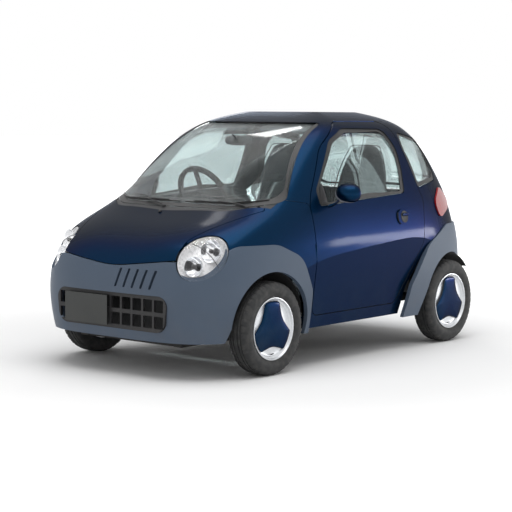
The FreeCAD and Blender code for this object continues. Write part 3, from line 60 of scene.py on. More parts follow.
@dataclass
class Wiring:
    """Adds nodes to one node tree and links them by socket name."""

    tree: bpy.types.NodeTree

    def node(self, kind: str, inputs: dict | None = None, **settings) -> bpy.types.Node:
        """Adds a node.

        Args:
            kind: The node's Blender type name, without "ShaderNode".
            inputs: Values or output sockets for its inputs, by name or number.
            settings: The node's own properties.

        Returns:
            The new node.
        """
        name = kind if kind.startswith("NodeGroup") else "ShaderNode" + kind
        made = self.tree.nodes.new(name)
        for key, setting in settings.items():
            setattr(made, key, setting)
        for key, given in (inputs or {}).items():
            if isinstance(given, bpy.types.NodeSocket):
                self.tree.links.new(given, made.inputs[key])
            else:
                made.inputs[key].default_value = given
        return made

    def math(self, operation: str, first, second=0.0, clamp: bool = False) -> bpy.types.NodeSocket:
        """The result socket of one sum on two values."""
        made = self.node("Math", {0: first, 1: second}, operation=operation, use_clamp=clamp)
        return made.outputs[0]

    def mix(self, factor, first, second) -> bpy.types.NodeSocket:
        """The result socket of a colour mix."""
        made = self.node(
            "Mix", {0: factor, 6: first, 7: second}, data_type="RGBA", clamp_factor=True
        )
        return made.outputs[2]

    def blend_values(self, factor, first, second) -> bpy.types.NodeSocket:
        """The result socket of a mix of two numbers."""
        made = self.node("Mix", {0: factor, 2: first, 3: second}, data_type="FLOAT")
        return made.outputs[0]

    def step(self, given, low: float, high: float) -> bpy.types.NodeSocket:
        """The result socket of a ramp from 0 at one value to 1 at another."""
        made = self.node("MapRange", {0: given, 1: low, 2: high}, clamp=True)
        return made.outputs[0]

    def place(self) -> bpy.types.NodeSocket:
        """The point in the car's own frame, in metres."""
        return self.node("TexCoord").outputs["Object"]

    def noise(self, scale, detail: float) -> bpy.types.NodeSocket:
        """The result socket of a cloudy noise in the car's frame."""
        made = self.node("TexNoise", {"Vector": self.place(), "Scale": scale, "Detail": detail})
        return made.outputs[0]

    def varied(self, given, reach: float, base: float) -> bpy.types.NodeSocket:
        """The result socket of a base value with a share of a noise added."""
        return self.math("ADD", self.math("MULTIPLY", given, reach), base)


def rgba(colour: Colour) -> tuple[float, float, float, float]:
    """A colour with full alpha."""
    return (*colour, 1.0)


@dataclass(frozen=True)
class Group:
    """A shader node group made once, with named inputs and outputs."""

    name: str
    inputs: dict[str, float]
    outputs: tuple[tuple[str, str], ...]
    fill: Callable[[Wiring, bpy.types.Node], dict[str, bpy.types.NodeSocket]]

    def tree(self) -> bpy.types.NodeTree:
        """The group's node tree, made on first use."""
        known = bpy.data.node_groups.get(self.name)
        if known:
            return known
        made = bpy.data.node_groups.new(self.name, "ShaderNodeTree")
        for label, start in self.inputs.items():
            socket = made.interface.new_socket(
                name=label, in_out="INPUT", socket_type="NodeSocketFloat"
            )
            socket.default_value = start
        for label, kind in self.outputs:
            made.interface.new_socket(name=label, in_out="OUTPUT", socket_type=kind)
        wiring = Wiring(made)
        source = made.nodes.new("NodeGroupInput")
        drain = made.nodes.new("NodeGroupOutput")
        for label, socket in self.fill(wiring, source).items():
            made.links.new(socket, drain.inputs[label])
        return made

    def use(self, wiring: Wiring, **values: float) -> bpy.types.Node:
        """Places the group in a material with its own values."""
        made = wiring.tree.nodes.new("ShaderNodeGroup")
        made.node_tree = self.tree()
        for label, given in values.items():
            made.inputs[label].default_value = given
        return made


def fill_grain(wiring: Wiring, source: bpy.types.Node) -> dict[str, bpy.types.NodeSocket]:
    """Fine moulded grain as a normal."""
    height = wiring.noise(source.outputs["Scale"], 3.0)
    bump = wiring.node(
        "Bump", {"Strength": source.outputs["Strength"], "Distance": 0.0006, "Height": height}
    )
    return {"Normal": bump.outputs[0]}


def fill_weave(wiring: Wiring, source: bpy.types.Node) -> dict[str, bpy.types.NodeSocket]:
    """Woven cloth: crossed threads as a mask and a normal."""
    axes = wiring.node("SeparateXYZ", {0: wiring.place()})
    across = wiring.math("ADD", axes.outputs[0], axes.outputs[2])
    threads = [
        wiring.math("SINE", wiring.math("MULTIPLY", line, source.outputs["Threads"]))
        for line in (across, axes.outputs[1])
    ]
    crossed = wiring.math("MULTIPLY", threads[0], threads[1])
    mask = wiring.step(crossed, -0.6, 0.6)
    bump = wiring.node("Bump", {"Strength": 0.35, "Distance": 0.0008, "Height": mask})
    return {"Mask": mask, "Normal": bump.outputs[0]}


def fill_flakes(wiring: Wiring, source: bpy.types.Node) -> dict[str, bpy.types.NodeSocket]:
    """Metal flakes in paint: a mask of brighter specks."""
    cells = wiring.node("TexVoronoi", {"Vector": wiring.place(), "Scale": source.outputs["Scale"]})
    speck = wiring.node("SeparateColor", {0: cells.outputs["Color"]})
    bright = wiring.step(speck.outputs[0], 0.55, 1.0)
    mask = wiring.math("MULTIPLY", bright, source.outputs["Amount"])
    return {"Mask": mask, "Cloud": wiring.noise(2.2, 2.0)}


def fill_dust(wiring: Wiring, source: bpy.types.Node) -> dict[str, bpy.types.NodeSocket]:
    """Thin road dust that gathers low on the car."""
    axes = wiring.node("SeparateXYZ", {0: wiring.place()})
    height = wiring.step(axes.outputs[2], 0.55, 0.08)
    patch = wiring.step(wiring.noise(9.0, 6.0), 0.35, 0.75)
    mask = wiring.math("MULTIPLY", wiring.math("MULTIPLY", height, patch), source.outputs["Amount"])
    return {"Mask": mask}


def fill_lining(wiring: Wiring, source: bpy.types.Node) -> dict[str, bpy.types.NodeSocket]:
    """Faces that look into the cabin or engine bay, as a mask."""
    inward = wiring.node(
        "VectorMath",
        {0: (-0.15, 0.0, 0.62), 1: wiring.place()},
        operation="SUBTRACT",
    )
    facing = wiring.node(
        "VectorMath",
        {0: inward.outputs[0], 1: wiring.node("TexCoord").outputs["Normal"]},
        operation="DOT_PRODUCT",
    )
    return {"Mask": wiring.step(facing.outputs["Value"], source.outputs["Edge"], 0.09)}


GRAIN = Group(
    "moulded_grain", {"Scale": 900.0, "Strength": 0.2}, (("Normal", "NodeSocketVector"),), fill_grain
)
WEAVE = Group(
    "woven_cloth",
    {"Threads": 2400.0},
    (("Mask", "NodeSocketFloat"), ("Normal", "NodeSocketVector")),
    fill_weave,
)
FLAKES = Group(
    "metal_flakes",
    {"Scale": 1400.0, "Amount": 0.5},
    (("Mask", "NodeSocketFloat"), ("Cloud", "NodeSocketFloat")),
    fill_flakes,
)
DUST = Group("road_dust", {"Amount": 0.3}, (("Mask", "NodeSocketFloat"),), fill_dust)
LINING = Group("cabin_lining", {"Edge": 0.07}, (("Mask", "NodeSocketFloat"),), fill_lining)
DUST_COLOUR: Colour = (0.16, 0.14, 0.12)


# Finishes

@dataclass(frozen=True)
class Finish:
    """What every finish has: a name, its record slot and a base colour."""

    name: str
    slot: str
    colour: Colour
    roughness: float = 0.5

    def material(self) -> bpy.types.Material:
        """The finish's material, made on first use."""
        known = bpy.data.materials.get(self.name)
        if known:
            return known
        made = bpy.data.materials.new(self.name)
        made.use_nodes = True
        made.diffuse_color = rgba(self.colour)
        shader = made.node_tree.nodes["Principled BSDF"]
        shader.inputs["Base Color"].default_value = rgba(self.colour)
        shader.inputs["Roughness"].default_value = self.roughness
        self.wire(Wiring(made.node_tree), shader)
        return made

    def wire(self, wiring: Wiring, shader: bpy.types.Node) -> None:
        """Adds the finish's own nodes."""

    @staticmethod
    def feed(wiring: Wiring, shader: bpy.types.Node, **sockets: bpy.types.NodeSocket) -> None:
        """Links sockets to the shader's inputs, with underscores for spaces."""
        for label, socket in sockets.items():
            wiring.tree.links.new(socket, shader.inputs[label.replace("_", " ")])


@dataclass(frozen=True)
class Paint(Finish):
    """Metallic body paint under clear lacquer, with a plain lining on inner faces."""

    flake: Colour = (0.004, 0.06, 0.15)
    edge: Colour = (0.004, 0.07, 0.17)
    metallic: float = 0.85
    coat: float = 0.14
    coat_roughness: float = 0.09
    coat_bend: float = 1.36
    lining: Colour = (0.045, 0.048, 0.052)
    pillar_lining: Colour = (0.30, 0.31, 0.36)

    def wire(self, wiring: Wiring, shader: bpy.types.Node) -> None:
        """Flakes, lacquer, dust and lining."""
        flakes = FLAKES.use(wiring, Scale=1400.0, Amount=0.35)
        lining = LINING.use(wiring).outputs["Mask"]
        dust = DUST.use(wiring, Amount=0.12).outputs["Mask"]
        colour = wiring.mix(flakes.outputs["Mask"], rgba(self.colour), rgba(self.flake))
        colour = wiring.mix(dust, colour, rgba(DUST_COLOUR))
        axes = wiring.node("SeparateXYZ", {0: wiring.place()})
        windscreen_pillars = wiring.math(
            "MULTIPLY",
            wiring.step(axes.outputs[2], 0.90, 0.96),
            wiring.step(axes.outputs[0], 0.0, 0.15),
        )
        inside = wiring.mix(windscreen_pillars, rgba(self.lining), rgba(self.pillar_lining))
        colour = wiring.mix(lining, colour, inside)
        rough = wiring.varied(flakes.outputs["Cloud"], 0.04, self.roughness)
        outer = wiring.math("SUBTRACT", 1.0, lining)
        self.feed(
            wiring,
            shader,
            Base_Color=colour,
            Roughness=wiring.blend_values(lining, rough, 0.75),
            Metallic=wiring.math("MULTIPLY", outer, self.metallic),
            Coat_Weight=wiring.math("MULTIPLY", outer, self.coat),
        )
        shader.inputs["Coat Roughness"].default_value = self.coat_roughness
        shader.inputs["Coat IOR"].default_value = self.coat_bend
        shader.inputs["Specular Tint"].default_value = rgba(self.edge)


@dataclass(frozen=True)
class Moulding(Finish):
    """Moulded or painted plastic with a fine grain and a little dust."""

    grain: float = 0.15
    grain_scale: float = 900.0
    dust: float = 0.15
    coat: float = 0.0
    specular: float = 0.5

    def wire(self, wiring: Wiring, shader: bpy.types.Node) -> None:
        """Grain, cloudiness and dust."""
        cloud = wiring.noise(6.0, 4.0)
        dust = DUST.use(wiring, Amount=self.dust).outputs["Mask"]
        darker = tuple(0.86 * part for part in self.colour)
        colour = wiring.mix(cloud, rgba(darker), rgba(self.colour))
        rough = wiring.varied(cloud, 0.08, self.roughness)
        grain = GRAIN.use(wiring, Scale=self.grain_scale, Strength=self.grain)
        self.feed(
            wiring,
            shader,
            Base_Color=wiring.mix(dust, colour, rgba(DUST_COLOUR)),
            Roughness=rough,
            Normal=grain.outputs["Normal"],
        )
        shader.inputs["Coat Weight"].default_value = self.coat
        shader.inputs["Coat Roughness"].default_value = 0.12
        shader.inputs["Specular IOR Level"].default_value = self.specular


@dataclass(frozen=True)
class Metal(Finish):
    """Bare or silvered metal with faint streaks."""

    metallic: float = 1.0
    streak: float = 0.1

    def wire(self, wiring: Wiring, shader: bpy.types.Node) -> None:
        """Streaked roughness and a little colour change."""
        streaks = wiring.noise(60.0, 5.0)
        duller = tuple(0.8 * part for part in self.colour)
        self.feed(
            wiring,
            shader,
            Base_Color=wiring.mix(streaks, rgba(duller), rgba(self.colour)),
            Roughness=wiring.varied(streaks, self.streak, self.roughness),
        )
        shader.inputs["Metallic"].default_value = self.metallic


@dataclass(frozen=True)
class Rubber(Finish):
    """Tyre or seal rubber with dust in its texture."""

    dust: float = 0.5

    def wire(self, wiring: Wiring, shader: bpy.types.Node) -> None:
        """Fine pitting and pale dust."""
        dust = wiring.math("MULTIPLY", wiring.step(wiring.noise(28.0, 8.0), 0.42, 0.8), self.dust)
        grain = GRAIN.use(wiring, Scale=650.0, Strength=0.3)
        self.feed(
            wiring,
            shader,
            Base_Color=wiring.mix(dust, rgba(self.colour), rgba((0.09, 0.085, 0.08))),
            Normal=grain.outputs["Normal"],
        )


@dataclass(frozen=True)
class Pane(Finish):
    """Tinted window glass, or a clear lamp lens."""

    alpha: float = 0.5
    smear: float = 0.02
    bend: float = 1.18

    def wire(self, wiring: Wiring, shader: bpy.types.Node) -> None:
        """See-through glass with faint smears."""
        rough = wiring.varied(wiring.noise(5.0, 3.0), self.smear, self.roughness)
        self.feed(wiring, shader, Roughness=rough)
        shader.inputs["Transmission Weight"].default_value = 1.0
        shader.inputs["IOR"].default_value = self.bend
        shader.inputs["Alpha"].default_value = self.alpha


@dataclass(frozen=True)
class Cloth(Finish):
    """Woven seat cloth."""

    thread: Colour = (0.14, 0.15, 0.17)

    def wire(self, wiring: Wiring, shader: bpy.types.Node) -> None:
        """Weave in colour and relief, with worn patches."""
        weave = WEAVE.use(wiring, Threads=1900.0)
        colour = wiring.mix(weave.outputs["Mask"], rgba(self.colour), rgba(self.thread))
        worn = wiring.math("MULTIPLY", wiring.noise(7.0, 3.0), 0.3)
        self.feed(
            wiring,
            shader,
            Base_Color=wiring.mix(worn, colour, rgba((0.2, 0.2, 0.21))),
            Normal=weave.outputs["Normal"],
        )
        shader.inputs["Sheen Weight"].default_value = 0.4


BODY_PAINT = Paint("deep_blue_paint", "paint", (0.0009, 0.0165, 0.046), 0.3)
FLARE_PLASTIC = Moulding(
    "slate_grey_bumper",
    "grey_plastic",
    (0.082, 0.113, 0.162),
    0.46,
    grain=0.04,
    dust=0.2,
    coat=0.06,
    specular=0.25,
)
BLACK_PLASTIC = Moulding("black_plastic_moulding", "black_plastic", (0.012, 0.012, 0.014), 0.55)
CABIN_PLASTIC = Moulding("cabin_plastic", "trim", (0.05, 0.055, 0.06), 0.65, grain=0.4, dust=0.0)
UNDERBODY = Moulding("underbody_coating", "chassis_black", (0.018, 0.018, 0.019), 0.75, grain=0.6)
PLATE_PAINT = Moulding("blank_plate", "plate", (0.018, 0.021, 0.02), 0.4, grain=0.02, dust=0.1)
TYRE_RUBBER = Rubber("tyre_rubber", "tyre", (0.016, 0.017, 0.018), 0.72)
SEAL_RUBBER = Rubber("seal_rubber", "black_plastic", (0.01, 0.01, 0.011), 0.5, dust=0.1)
RIM_SILVER = Metal("rim_silver", "alloy", (0.82, 0.84, 0.87), 0.32, metallic=0.55)
CASTING = Metal("dark_casting", "iron", (0.12, 0.12, 0.125), 0.6, metallic=0.8, streak=0.2)
STEEL = Metal("rolled_steel", "steel", (0.42, 0.42, 0.44), 0.4, streak=0.2)
CORE_METAL = Metal("radiator_core", "alloy", (0.035, 0.036, 0.038), 0.6, metallic=0.5)
MIRRORED = Metal("reflector_chrome", "alloy", (0.93, 0.94, 0.96), 0.06, streak=0.03)
CHAMBER = Metal("lamp_chamber", "alloy", (0.97, 0.97, 0.98), 0.25, metallic=0.15, streak=0.05)
WINDOW_GLASS = Pane("tinted_window", "glass", (0.53, 0.67, 0.67), 0.0, alpha=0.6)
LENS = Pane("clear_lens", "lamp", (0.97, 0.98, 1.0), 0.02, alpha=0.08, bend=1.4)
RED_LENS = Moulding(
    "red_lens", "tail_lamp", (0.36, 0.012, 0.014), 0.12, grain=0.3, grain_scale=260.0, coat=1.0
)
SEAT_CLOTH = Cloth("seat_cloth", "fabric", (0.07, 0.078, 0.088), 0.85)

NODE_FINISHES: dict[str, Finish] = {
    "paint": BODY_PAINT,
    "grey_plastic": FLARE_PLASTIC,
    "black_plastic": BLACK_PLASTIC,
    "trim": CABIN_PLASTIC,
    "chassis_black": UNDERBODY,
    "glass": WINDOW_GLASS,
    "lamp": LENS,
    "tail_lamp": RED_LENS,
    "plate": PLATE_PAINT,
    "tyre": TYRE_RUBBER,
    "alloy": RIM_SILVER,
    "iron": CASTING,
    "steel": STEEL,
    "fabric": SEAT_CLOTH,
}

OWN_FINISHES: dict[str, Finish] = {
    "radiator": CORE_METAL,
    "exhaust": CASTING,
    "seat_rails": UNDERBODY,
    "steering_wheel": CABIN_PLASTIC,
}


# Mesh helpers

Ring = list[Vector]
UP = Vector((0.0, 0.0, 1.0))


def piece(
    name: str,
    points: Sequence[Vector],
    faces: Sequence[Sequence[int]],
    finish: Finish,
    body: str,
    crease_deg: float = 35.0,
) -> bpy.types.Object:
    """Makes a mesh object, shades it, gives it a finish and sets it on a body.

    Args:
        name: The piece's name.
        points: Its vertices in the car's frame, in metres.
        faces: Vertex numbers of each face.
        finish: Its finish.
        body: The CAD body that it rides on.
        crease_deg: Edges sharper than this stay sharp.

    Returns:
        The new object.
    """
    mesh = bpy.data.meshes.new(name)
    mesh.from_pydata([tuple(point) for point in points], [], [tuple(face) for face in faces])
    mesh.validate()
    work = bmesh.new()
    work.from_mesh(mesh)
    bmesh.ops.recalc_face_normals(work, faces=work.faces)
    work.to_mesh(mesh)
    work.free()
    mesh.shade_smooth()
    mesh.set_sharp_from_angle(angle=math.radians(crease_deg))
    made = bpy.data.objects.new(name, mesh)
    bpy.context.scene.collection.objects.link(made)
    made.data.materials.append(finish.material())
    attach(made, body)
    return made


def loft(rings: Sequence[Ring], closed_ring: bool = True, caps: bool = True) -> tuple[Ring, list]:
    """Joins rings of equal length by quads.

    Args:
        rings: The rings in order.
        closed_ring: Whether each ring closes on itself.
        caps: Whether the first and last ring are filled.

    Returns:
        The points and faces.
    """
    count = len(rings[0])
    points = [point for ring in rings for point in ring]
    faces = []
    last = count if closed_ring else count - 1
    for row in range(len(rings) - 1):
        for index in range(last):
            ahead = (index + 1) % count
            faces.append(
                (
                    row * count + index,
                    row * count + ahead,
                    (row + 1) * count + ahead,
                    (row + 1) * count + index,
                )
            )
    if caps:
        faces.append(tuple(reversed(range(count))))
        faces.append(tuple((len(rings) - 1) * count + index for index in range(count)))
    return points, faces


def turned(profile: Sequence[tuple[float, float]], middle: Vector, segments: int) -> list[Ring]:
    """Rings of a form turned about the Y axis through a point: (along, radius) pairs."""
    rings = []
    for step in range(segments):
        angle = 2 * math.pi * step / segments
        rings.append(
            [
                middle + Vector((radius * math.sin(angle), along, radius * math.cos(angle)))
                for along, radius in profile
            ]
        )
    return rings


def oval(middle: Vector, across: Vector, up: Vector, square: float = 2.0, count: int = 40) -> Ring:
    """A superellipse round a point, from its two half axes."""
    ring = []
    for step in range(count):
        angle = 2 * math.pi * step / count
        part_a, part_b = math.cos(angle), math.sin(angle)
        scale = (abs(part_a) ** square + abs(part_b) ** square) ** (-1 / square)
        ring.append(middle + across * (part_a * scale) + up * (part_b * scale))
    return ring


def stacked(
    profile: Sequence[tuple[float, float]],
    middle: Vector,
    along: Vector,
    across: Vector,
    up: Vector,
    square: float = 2.0,
    count: int = 40,
) -> list[Ring]:
    """Ovals set one behind another.

    Args:
        profile: Each oval's share of the full size, and how far along it lies.
        middle: Where the distances start.
        along: The direction that they run in.
        across: The full first half axis.
        up: The full second half axis.
        square: How square the ovals are.
        count: The points in each oval.

    Returns:
        The rings in order.
    """
    return [
        oval(middle + along * distance, across * share, up * share, square, count)
        for share, distance in profile
    ]


def rod(
    name: str, route: Sequence[Vector], radius: float, finish: Finish, body: str, closed: bool = False
) -> bpy.types.Object:
    """A round bar or strip along a route."""
    curve = bpy.data.curves.new(name, "CURVE")
    curve.dimensions = "3D"
    curve.bevel_depth = radius
    curve.bevel_resolution = 3
    curve.use_fill_caps = True
    spline = curve.splines.new("POLY")
    spline.points.add(len(route) - 1)
    for point, place in zip(spline.points, route):
        point.co = (*place, 1.0)
    spline.use_cyclic_u = closed
    draft = bpy.data.objects.new(name + "_draft", curve)
    mesh = bpy.data.meshes.new_from_object(draft)
    bpy.data.objects.remove(draft)
    mesh.name = name
    mesh.shade_smooth()
    made = bpy.data.objects.new(name, mesh)
    bpy.context.scene.collection.objects.link(made)
    made.data.materials.clear()
    made.data.materials.append(finish.material())
    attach(made, body)
    return made


def arc(points: Sequence[Vector], steps: int = 8) -> Ring:
    """A smooth open route through given points."""
    route = []
    count = len(points)
    for index in range(count - 1):
        before = points[max(index - 1, 0)]
        first, second = points[index], points[index + 1]
        after = points[min(index + 2, count - 1)]
        for step in range(steps):
            t = step / steps
            route.append(
                0.5
                * (
                    2 * first
                    + (second - before) * t
                    + (2 * before - 5 * first + 4 * second - after) * t**2
                    + (3 * first - before - 3 * second + after) * t**3
                )
            )
    route.append(points[-1])
    return route


@dataclass
class Skin:
    """Finds points on the outside of CAD nodes."""

    nodes: tuple[str, ...]
    tree: BVHTree = field(init=False)

    def __post_init__(self) -> None:
        """Gathers the nodes' faces in one search tree."""
        points: list[Vector] = []
        faces: list[tuple[int, ...]] = []
        for name in self.nodes:
            mesh = FRAME["nodes"][name].data
            start = len(points)
            points += [vertex.co.copy() for vertex in mesh.vertices]
            faces += [tuple(start + i for i in polygon.vertices) for polygon in mesh.polygons]
        self.tree = BVHTree.FromPolygons(points, faces)

    def hit(self, start: Place, direction: Place) -> tuple[Vector, Vector]:
        """The first point and normal along a ray."""
        place, normal, _, _ = self.tree.ray_cast(Vector(start), Vector(direction).normalized())
        if place is None:
            raise ValueError("no surface of %s from %s" % (self.nodes, start))
        if normal.dot(Vector(direction)) > 0:
            normal = -normal
        return place, normal

    def nearest(self, spot: Place) -> tuple[Vector, Vector]:
        """The closest point of the surface and its normal."""
        place, normal, _, _ = self.tree.find_nearest(Vector(spot))
        return place, normal

    def above(self, x: float, y: float) -> tuple[Vector, Vector]:
        """The top point at a place in plan."""
        return self.hit((x, y, 3.0), (0, 0, -1))

    def beside(self, x: float, z: float, side: Side) -> tuple[Vector, Vector]:
        """The outermost point of one side at a place in side view."""
        return self.hit((x, 3.0 * side.value, z), (0, -side.value, 0))


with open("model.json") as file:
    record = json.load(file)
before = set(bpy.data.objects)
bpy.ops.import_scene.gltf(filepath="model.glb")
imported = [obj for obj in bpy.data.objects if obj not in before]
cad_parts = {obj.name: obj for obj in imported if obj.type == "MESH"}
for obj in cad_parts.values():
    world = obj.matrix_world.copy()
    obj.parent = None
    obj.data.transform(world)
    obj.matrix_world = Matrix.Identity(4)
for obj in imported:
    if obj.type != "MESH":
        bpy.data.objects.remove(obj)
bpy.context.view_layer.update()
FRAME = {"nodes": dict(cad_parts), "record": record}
BODY_OF = {
    node: body for body, nodes in FRAME["record"]["behaviour"]["bodies"].items() for node in nodes
}


# Sub-assemblies

@dataclass
class CadPanels:
    """The CAD nodes that keep their own shape, dressed from their record slots."""

    crease_deg: float = 28.0

    def dress(self) -> list[bpy.types.Object]:
        """Gives every CAD node its finish and smooth shading."""
        slots = {part["node"]: part["material_slot"] for part in FRAME["record"]["subparts"]}
        done = []
        for node, made in FRAME["nodes"].items():
            finish = OWN_FINISHES.get(node, NODE_FINISHES[slots[node]])
            material = finish.material()
            if not made.data.materials:
                made.data.materials.append(material)
            for index in range(len(made.data.materials)):
                made.data.materials[index] = material
            made.data.shade_smooth()
            made.data.set_sharp_from_angle(angle=math.radians(self.crease_deg))
            done.append(made)
        return done


@dataclass
class RoadWheel:
    """A tyre with grooved tread, its rim and the three-lobed cover."""

    axle: Axle
    side: Side
    x: float
    y: float
    z: float = 0.2604
    radius: float = 0.2604
    half_width: float = 0.0672
    rim_radius: float = 0.1735
    groove_depth: float = 0.006
    tread_blocks: int = 40
    steps_per_block: int = 5
    lobe_reach: float = 0.84
    lobe_half_width: float = 0.36
    waist: float = 0.58

    @property
    def tag(self) -> str:
        """The wheel's place in words, as the CAD nodes spell it."""
        return "%s_%s" % (self.axle.value, self.side.tag)

    @property
    def body(self) -> str:
        """The CAD body that the wheel rides on."""
        return "wheel_assembly_" + self.tag

    @property
    def middle(self) -> Vector:
        """The wheel's centre."""
        return Vector((self.x, self.y * self.side.value, self.z))

    def tyre_profile(self) -> list[tuple[float, float, bool, bool]]:
        """Half a tyre section and its mirror: (along, radius, in a groove, on the shoulder)."""
        edge, crown = self.half_width, self.radius
        half = [
            (0.0, crown, False, False),
            (0.011, crown, False, False),
            (0.0125, crown, True, False),
            (0.0175, crown, True, False),
            (0.019, crown - 0.0002, False, False),
            (0.030, crown - 0.0010, False, False),
            (0.0315, crown - 0.0012, True, False),
            (0.0355, crown - 0.0016, True, False),
            (0.037, crown - 0.0018, False, True),
            (0.046, crown - 0.0036, False, True),
            (0.053, crown - 0.0075, False, True),
            (0.058, crown - 0.014, False, True),
            (0.0615, crown - 0.023, False, False),
            (edge - 0.0012, crown - 0.034, False, False),
            (edge, crown - 0.048, False, False),
            (edge - 0.0004, crown - 0.056, False, False),
            (edge - 0.0035, crown - 0.068, False, False),
            (edge - 0.0085, crown - 0.079, False, False),
            (edge - 0.0125, self.rim_radius + 0.003, False, False),
            (edge - 0.0145, self.rim_radius - 0.006, False, False),
            (edge - 0.019, self.rim_radius - 0.010, False, False),
        ]
        return [(-a, r, g, s) for a, r, g, s in reversed(half[1:])] + half

    def tyre(self) -> bpy.types.Object:
        """The tyre, with ribs, cross cuts and moulded rings on its walls."""
        steps = self.tread_blocks * self.steps_per_block
        profile = self.tyre_profile()
        rings = []
        for step in range(steps):
            angle = 2 * math.pi * step / steps
            cut = step % self.steps_per_block == 0
            ring = []
            for index, (along, radius, groove, shoulder) in enumerate(profile):
                depth = self.groove_depth if groove else 0.0
                if shoulder and cut:
                    depth = 0.8 * self.groove_depth
                if depth == 0.0 and step % self.steps_per_block == 2 and abs(along) < 0.031:
                    depth = 0.0015 if abs(along) > 0.0185 else 0.0
                place = radius - depth
                ring.append(Vector((place * math.sin(angle), along, place * math.cos(angle))))
            rings.append([self.middle + point for point in ring])
        points, faces = loft(rings + rings[:1], closed_ring=False, caps=False)
        made = piece("tyre_look_" + self.tag, points, faces, TYRE_RUBBER, self.body, 30.0)
        weld(made)
        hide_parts("tyre_" + self.tag)
        return made

    def outward(self, along: float) -> float:
        """A Y offset towards the car's outside."""
        return along * self.side.value

    def rim(self) -> bpy.types.Object:
        """The silvered rim and its dished disc as one turned form."""
        full = self.rim_radius
        profile = [
            (0.0600, full),
            (0.0608, full - 0.004),
            (0.0560, full - 0.008),
            (0.0500, full - 0.011),
            (0.0440, full - 0.021),
            (0.0405, full - 0.024),
            (0.0380, full - 0.036),
            (0.0400, full - 0.050),
            (0.0400, 0.060),
            (0.0430, 0.040),
            (0.0430, 0.0),
            (0.0330, 0.0),
            (0.0330, 0.060),
            (0.0310, full - 0.036),
            (0.0310, full - 0.024),
            (-0.0300, full - 0.020),
            (-0.0440, full - 0.012),
            (-0.0600, full - 0.006),
            (-0.0608, full),
            (-0.0560, full),
            (-0.0460, full - 0.004),
            (0.0460, full - 0.004),
            (0.0560, full),
        ]
        swept = [(self.outward(along), radius) for along, radius in profile]
        rings = turned(swept, self.middle, 96)
        points, faces = loft(rings + rings[:1], closed_ring=True, caps=False)
        made = piece("rim_look_" + self.tag, points, faces, RIM_SILVER, self.body, 32.0)
        weld(made)
        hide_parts("wheel_" + self.tag)
        return made

    def lobe_outline(self) -> Ring:
        """The cover's outline in the wheel's plane, three lobes and three waists."""
        full, half = self.rim_radius, self.lobe_half_width
        marks = []
        for lobe in range(3):
            turn = math.radians(120 * lobe)
            local = [
                (-half, 0.70),
                (-half * 0.93, self.lobe_reach - 0.04),
                (-half * 0.70, self.lobe_reach + 0.01),
                (0.0, self.lobe_reach + 0.035),
                (half * 0.70, self.lobe_reach + 0.01),
                (half * 0.93, self.lobe_reach - 0.04),
                (half, 0.70),
                (self.waist * math.sin(math.pi / 3), self.waist * math.cos(math.pi / 3)),
            ]
            for across, up in local:
                x = across * math.cos(turn) + up * math.sin(turn)
                z = -across * math.sin(turn) + up * math.cos(turn)
                marks.append(Vector((x * full, 0.0, z * full)))
        count = len(marks)
        route = []
        for index in range(count):
            before, first = marks[index - 1], marks[index]
            second, after = marks[(index + 1) % count], marks[(index + 2) % count]
            route += arc([before, first, second, after], 5)[5:10]
        return route

    def cover(self) -> bpy.types.Object:
        """The three-lobed wheel cover, domed and painted in the body's blue."""
        outline = self.lobe_outline()
        rings = []
        for scale, height in (
            (0.985, 0.0405),
            (1.0, 0.0420),
            (1.0, 0.0500),
            (0.985, 0.0525),
            (0.95, 0.0540),
            (0.80, 0.0562),
            (0.60, 0.0572),
            (0.40, 0.0579),
            (0.20, 0.0583),
            (0.03, 0.0585),
        ):
            lift = Vector((0.0, self.outward(height), 0.0))
            rings.append([self.middle + scale * point + lift for point in outline])
        points, faces = loft(rings)
        return piece("wheel_cover_" + self.tag, points, faces, BODY_PAINT, self.body, 40.0)

    def valve(self) -> bpy.types.Object:
        """The short rubber valve in the rim."""
        root = self.middle + Vector((0.0, self.outward(0.040), -(self.rim_radius - 0.030)))
        tip = root + Vector((0.0, self.outward(0.018), 0.006))
        return rod("valve_" + self.tag, [root, tip], 0.0035, SEAL_RUBBER, self.body)

    def build(self) -> list[bpy.types.Object]:
        """All pieces of the wheel."""
        return [self.tyre(), self.rim(), self.cover(), self.valve()]


def weld(made: bpy.types.Object, reach: float = 1e-5) -> None:
    """Joins points that share a place, and evens the normals."""
    work = bmesh.new()
    work.from_mesh(made.data)
    bmesh.ops.remove_doubles(work, verts=work.verts, dist=reach)
    bmesh.ops.recalc_face_normals(work, faces=work.faces)
    work.to_mesh(made.data)
    work.free()


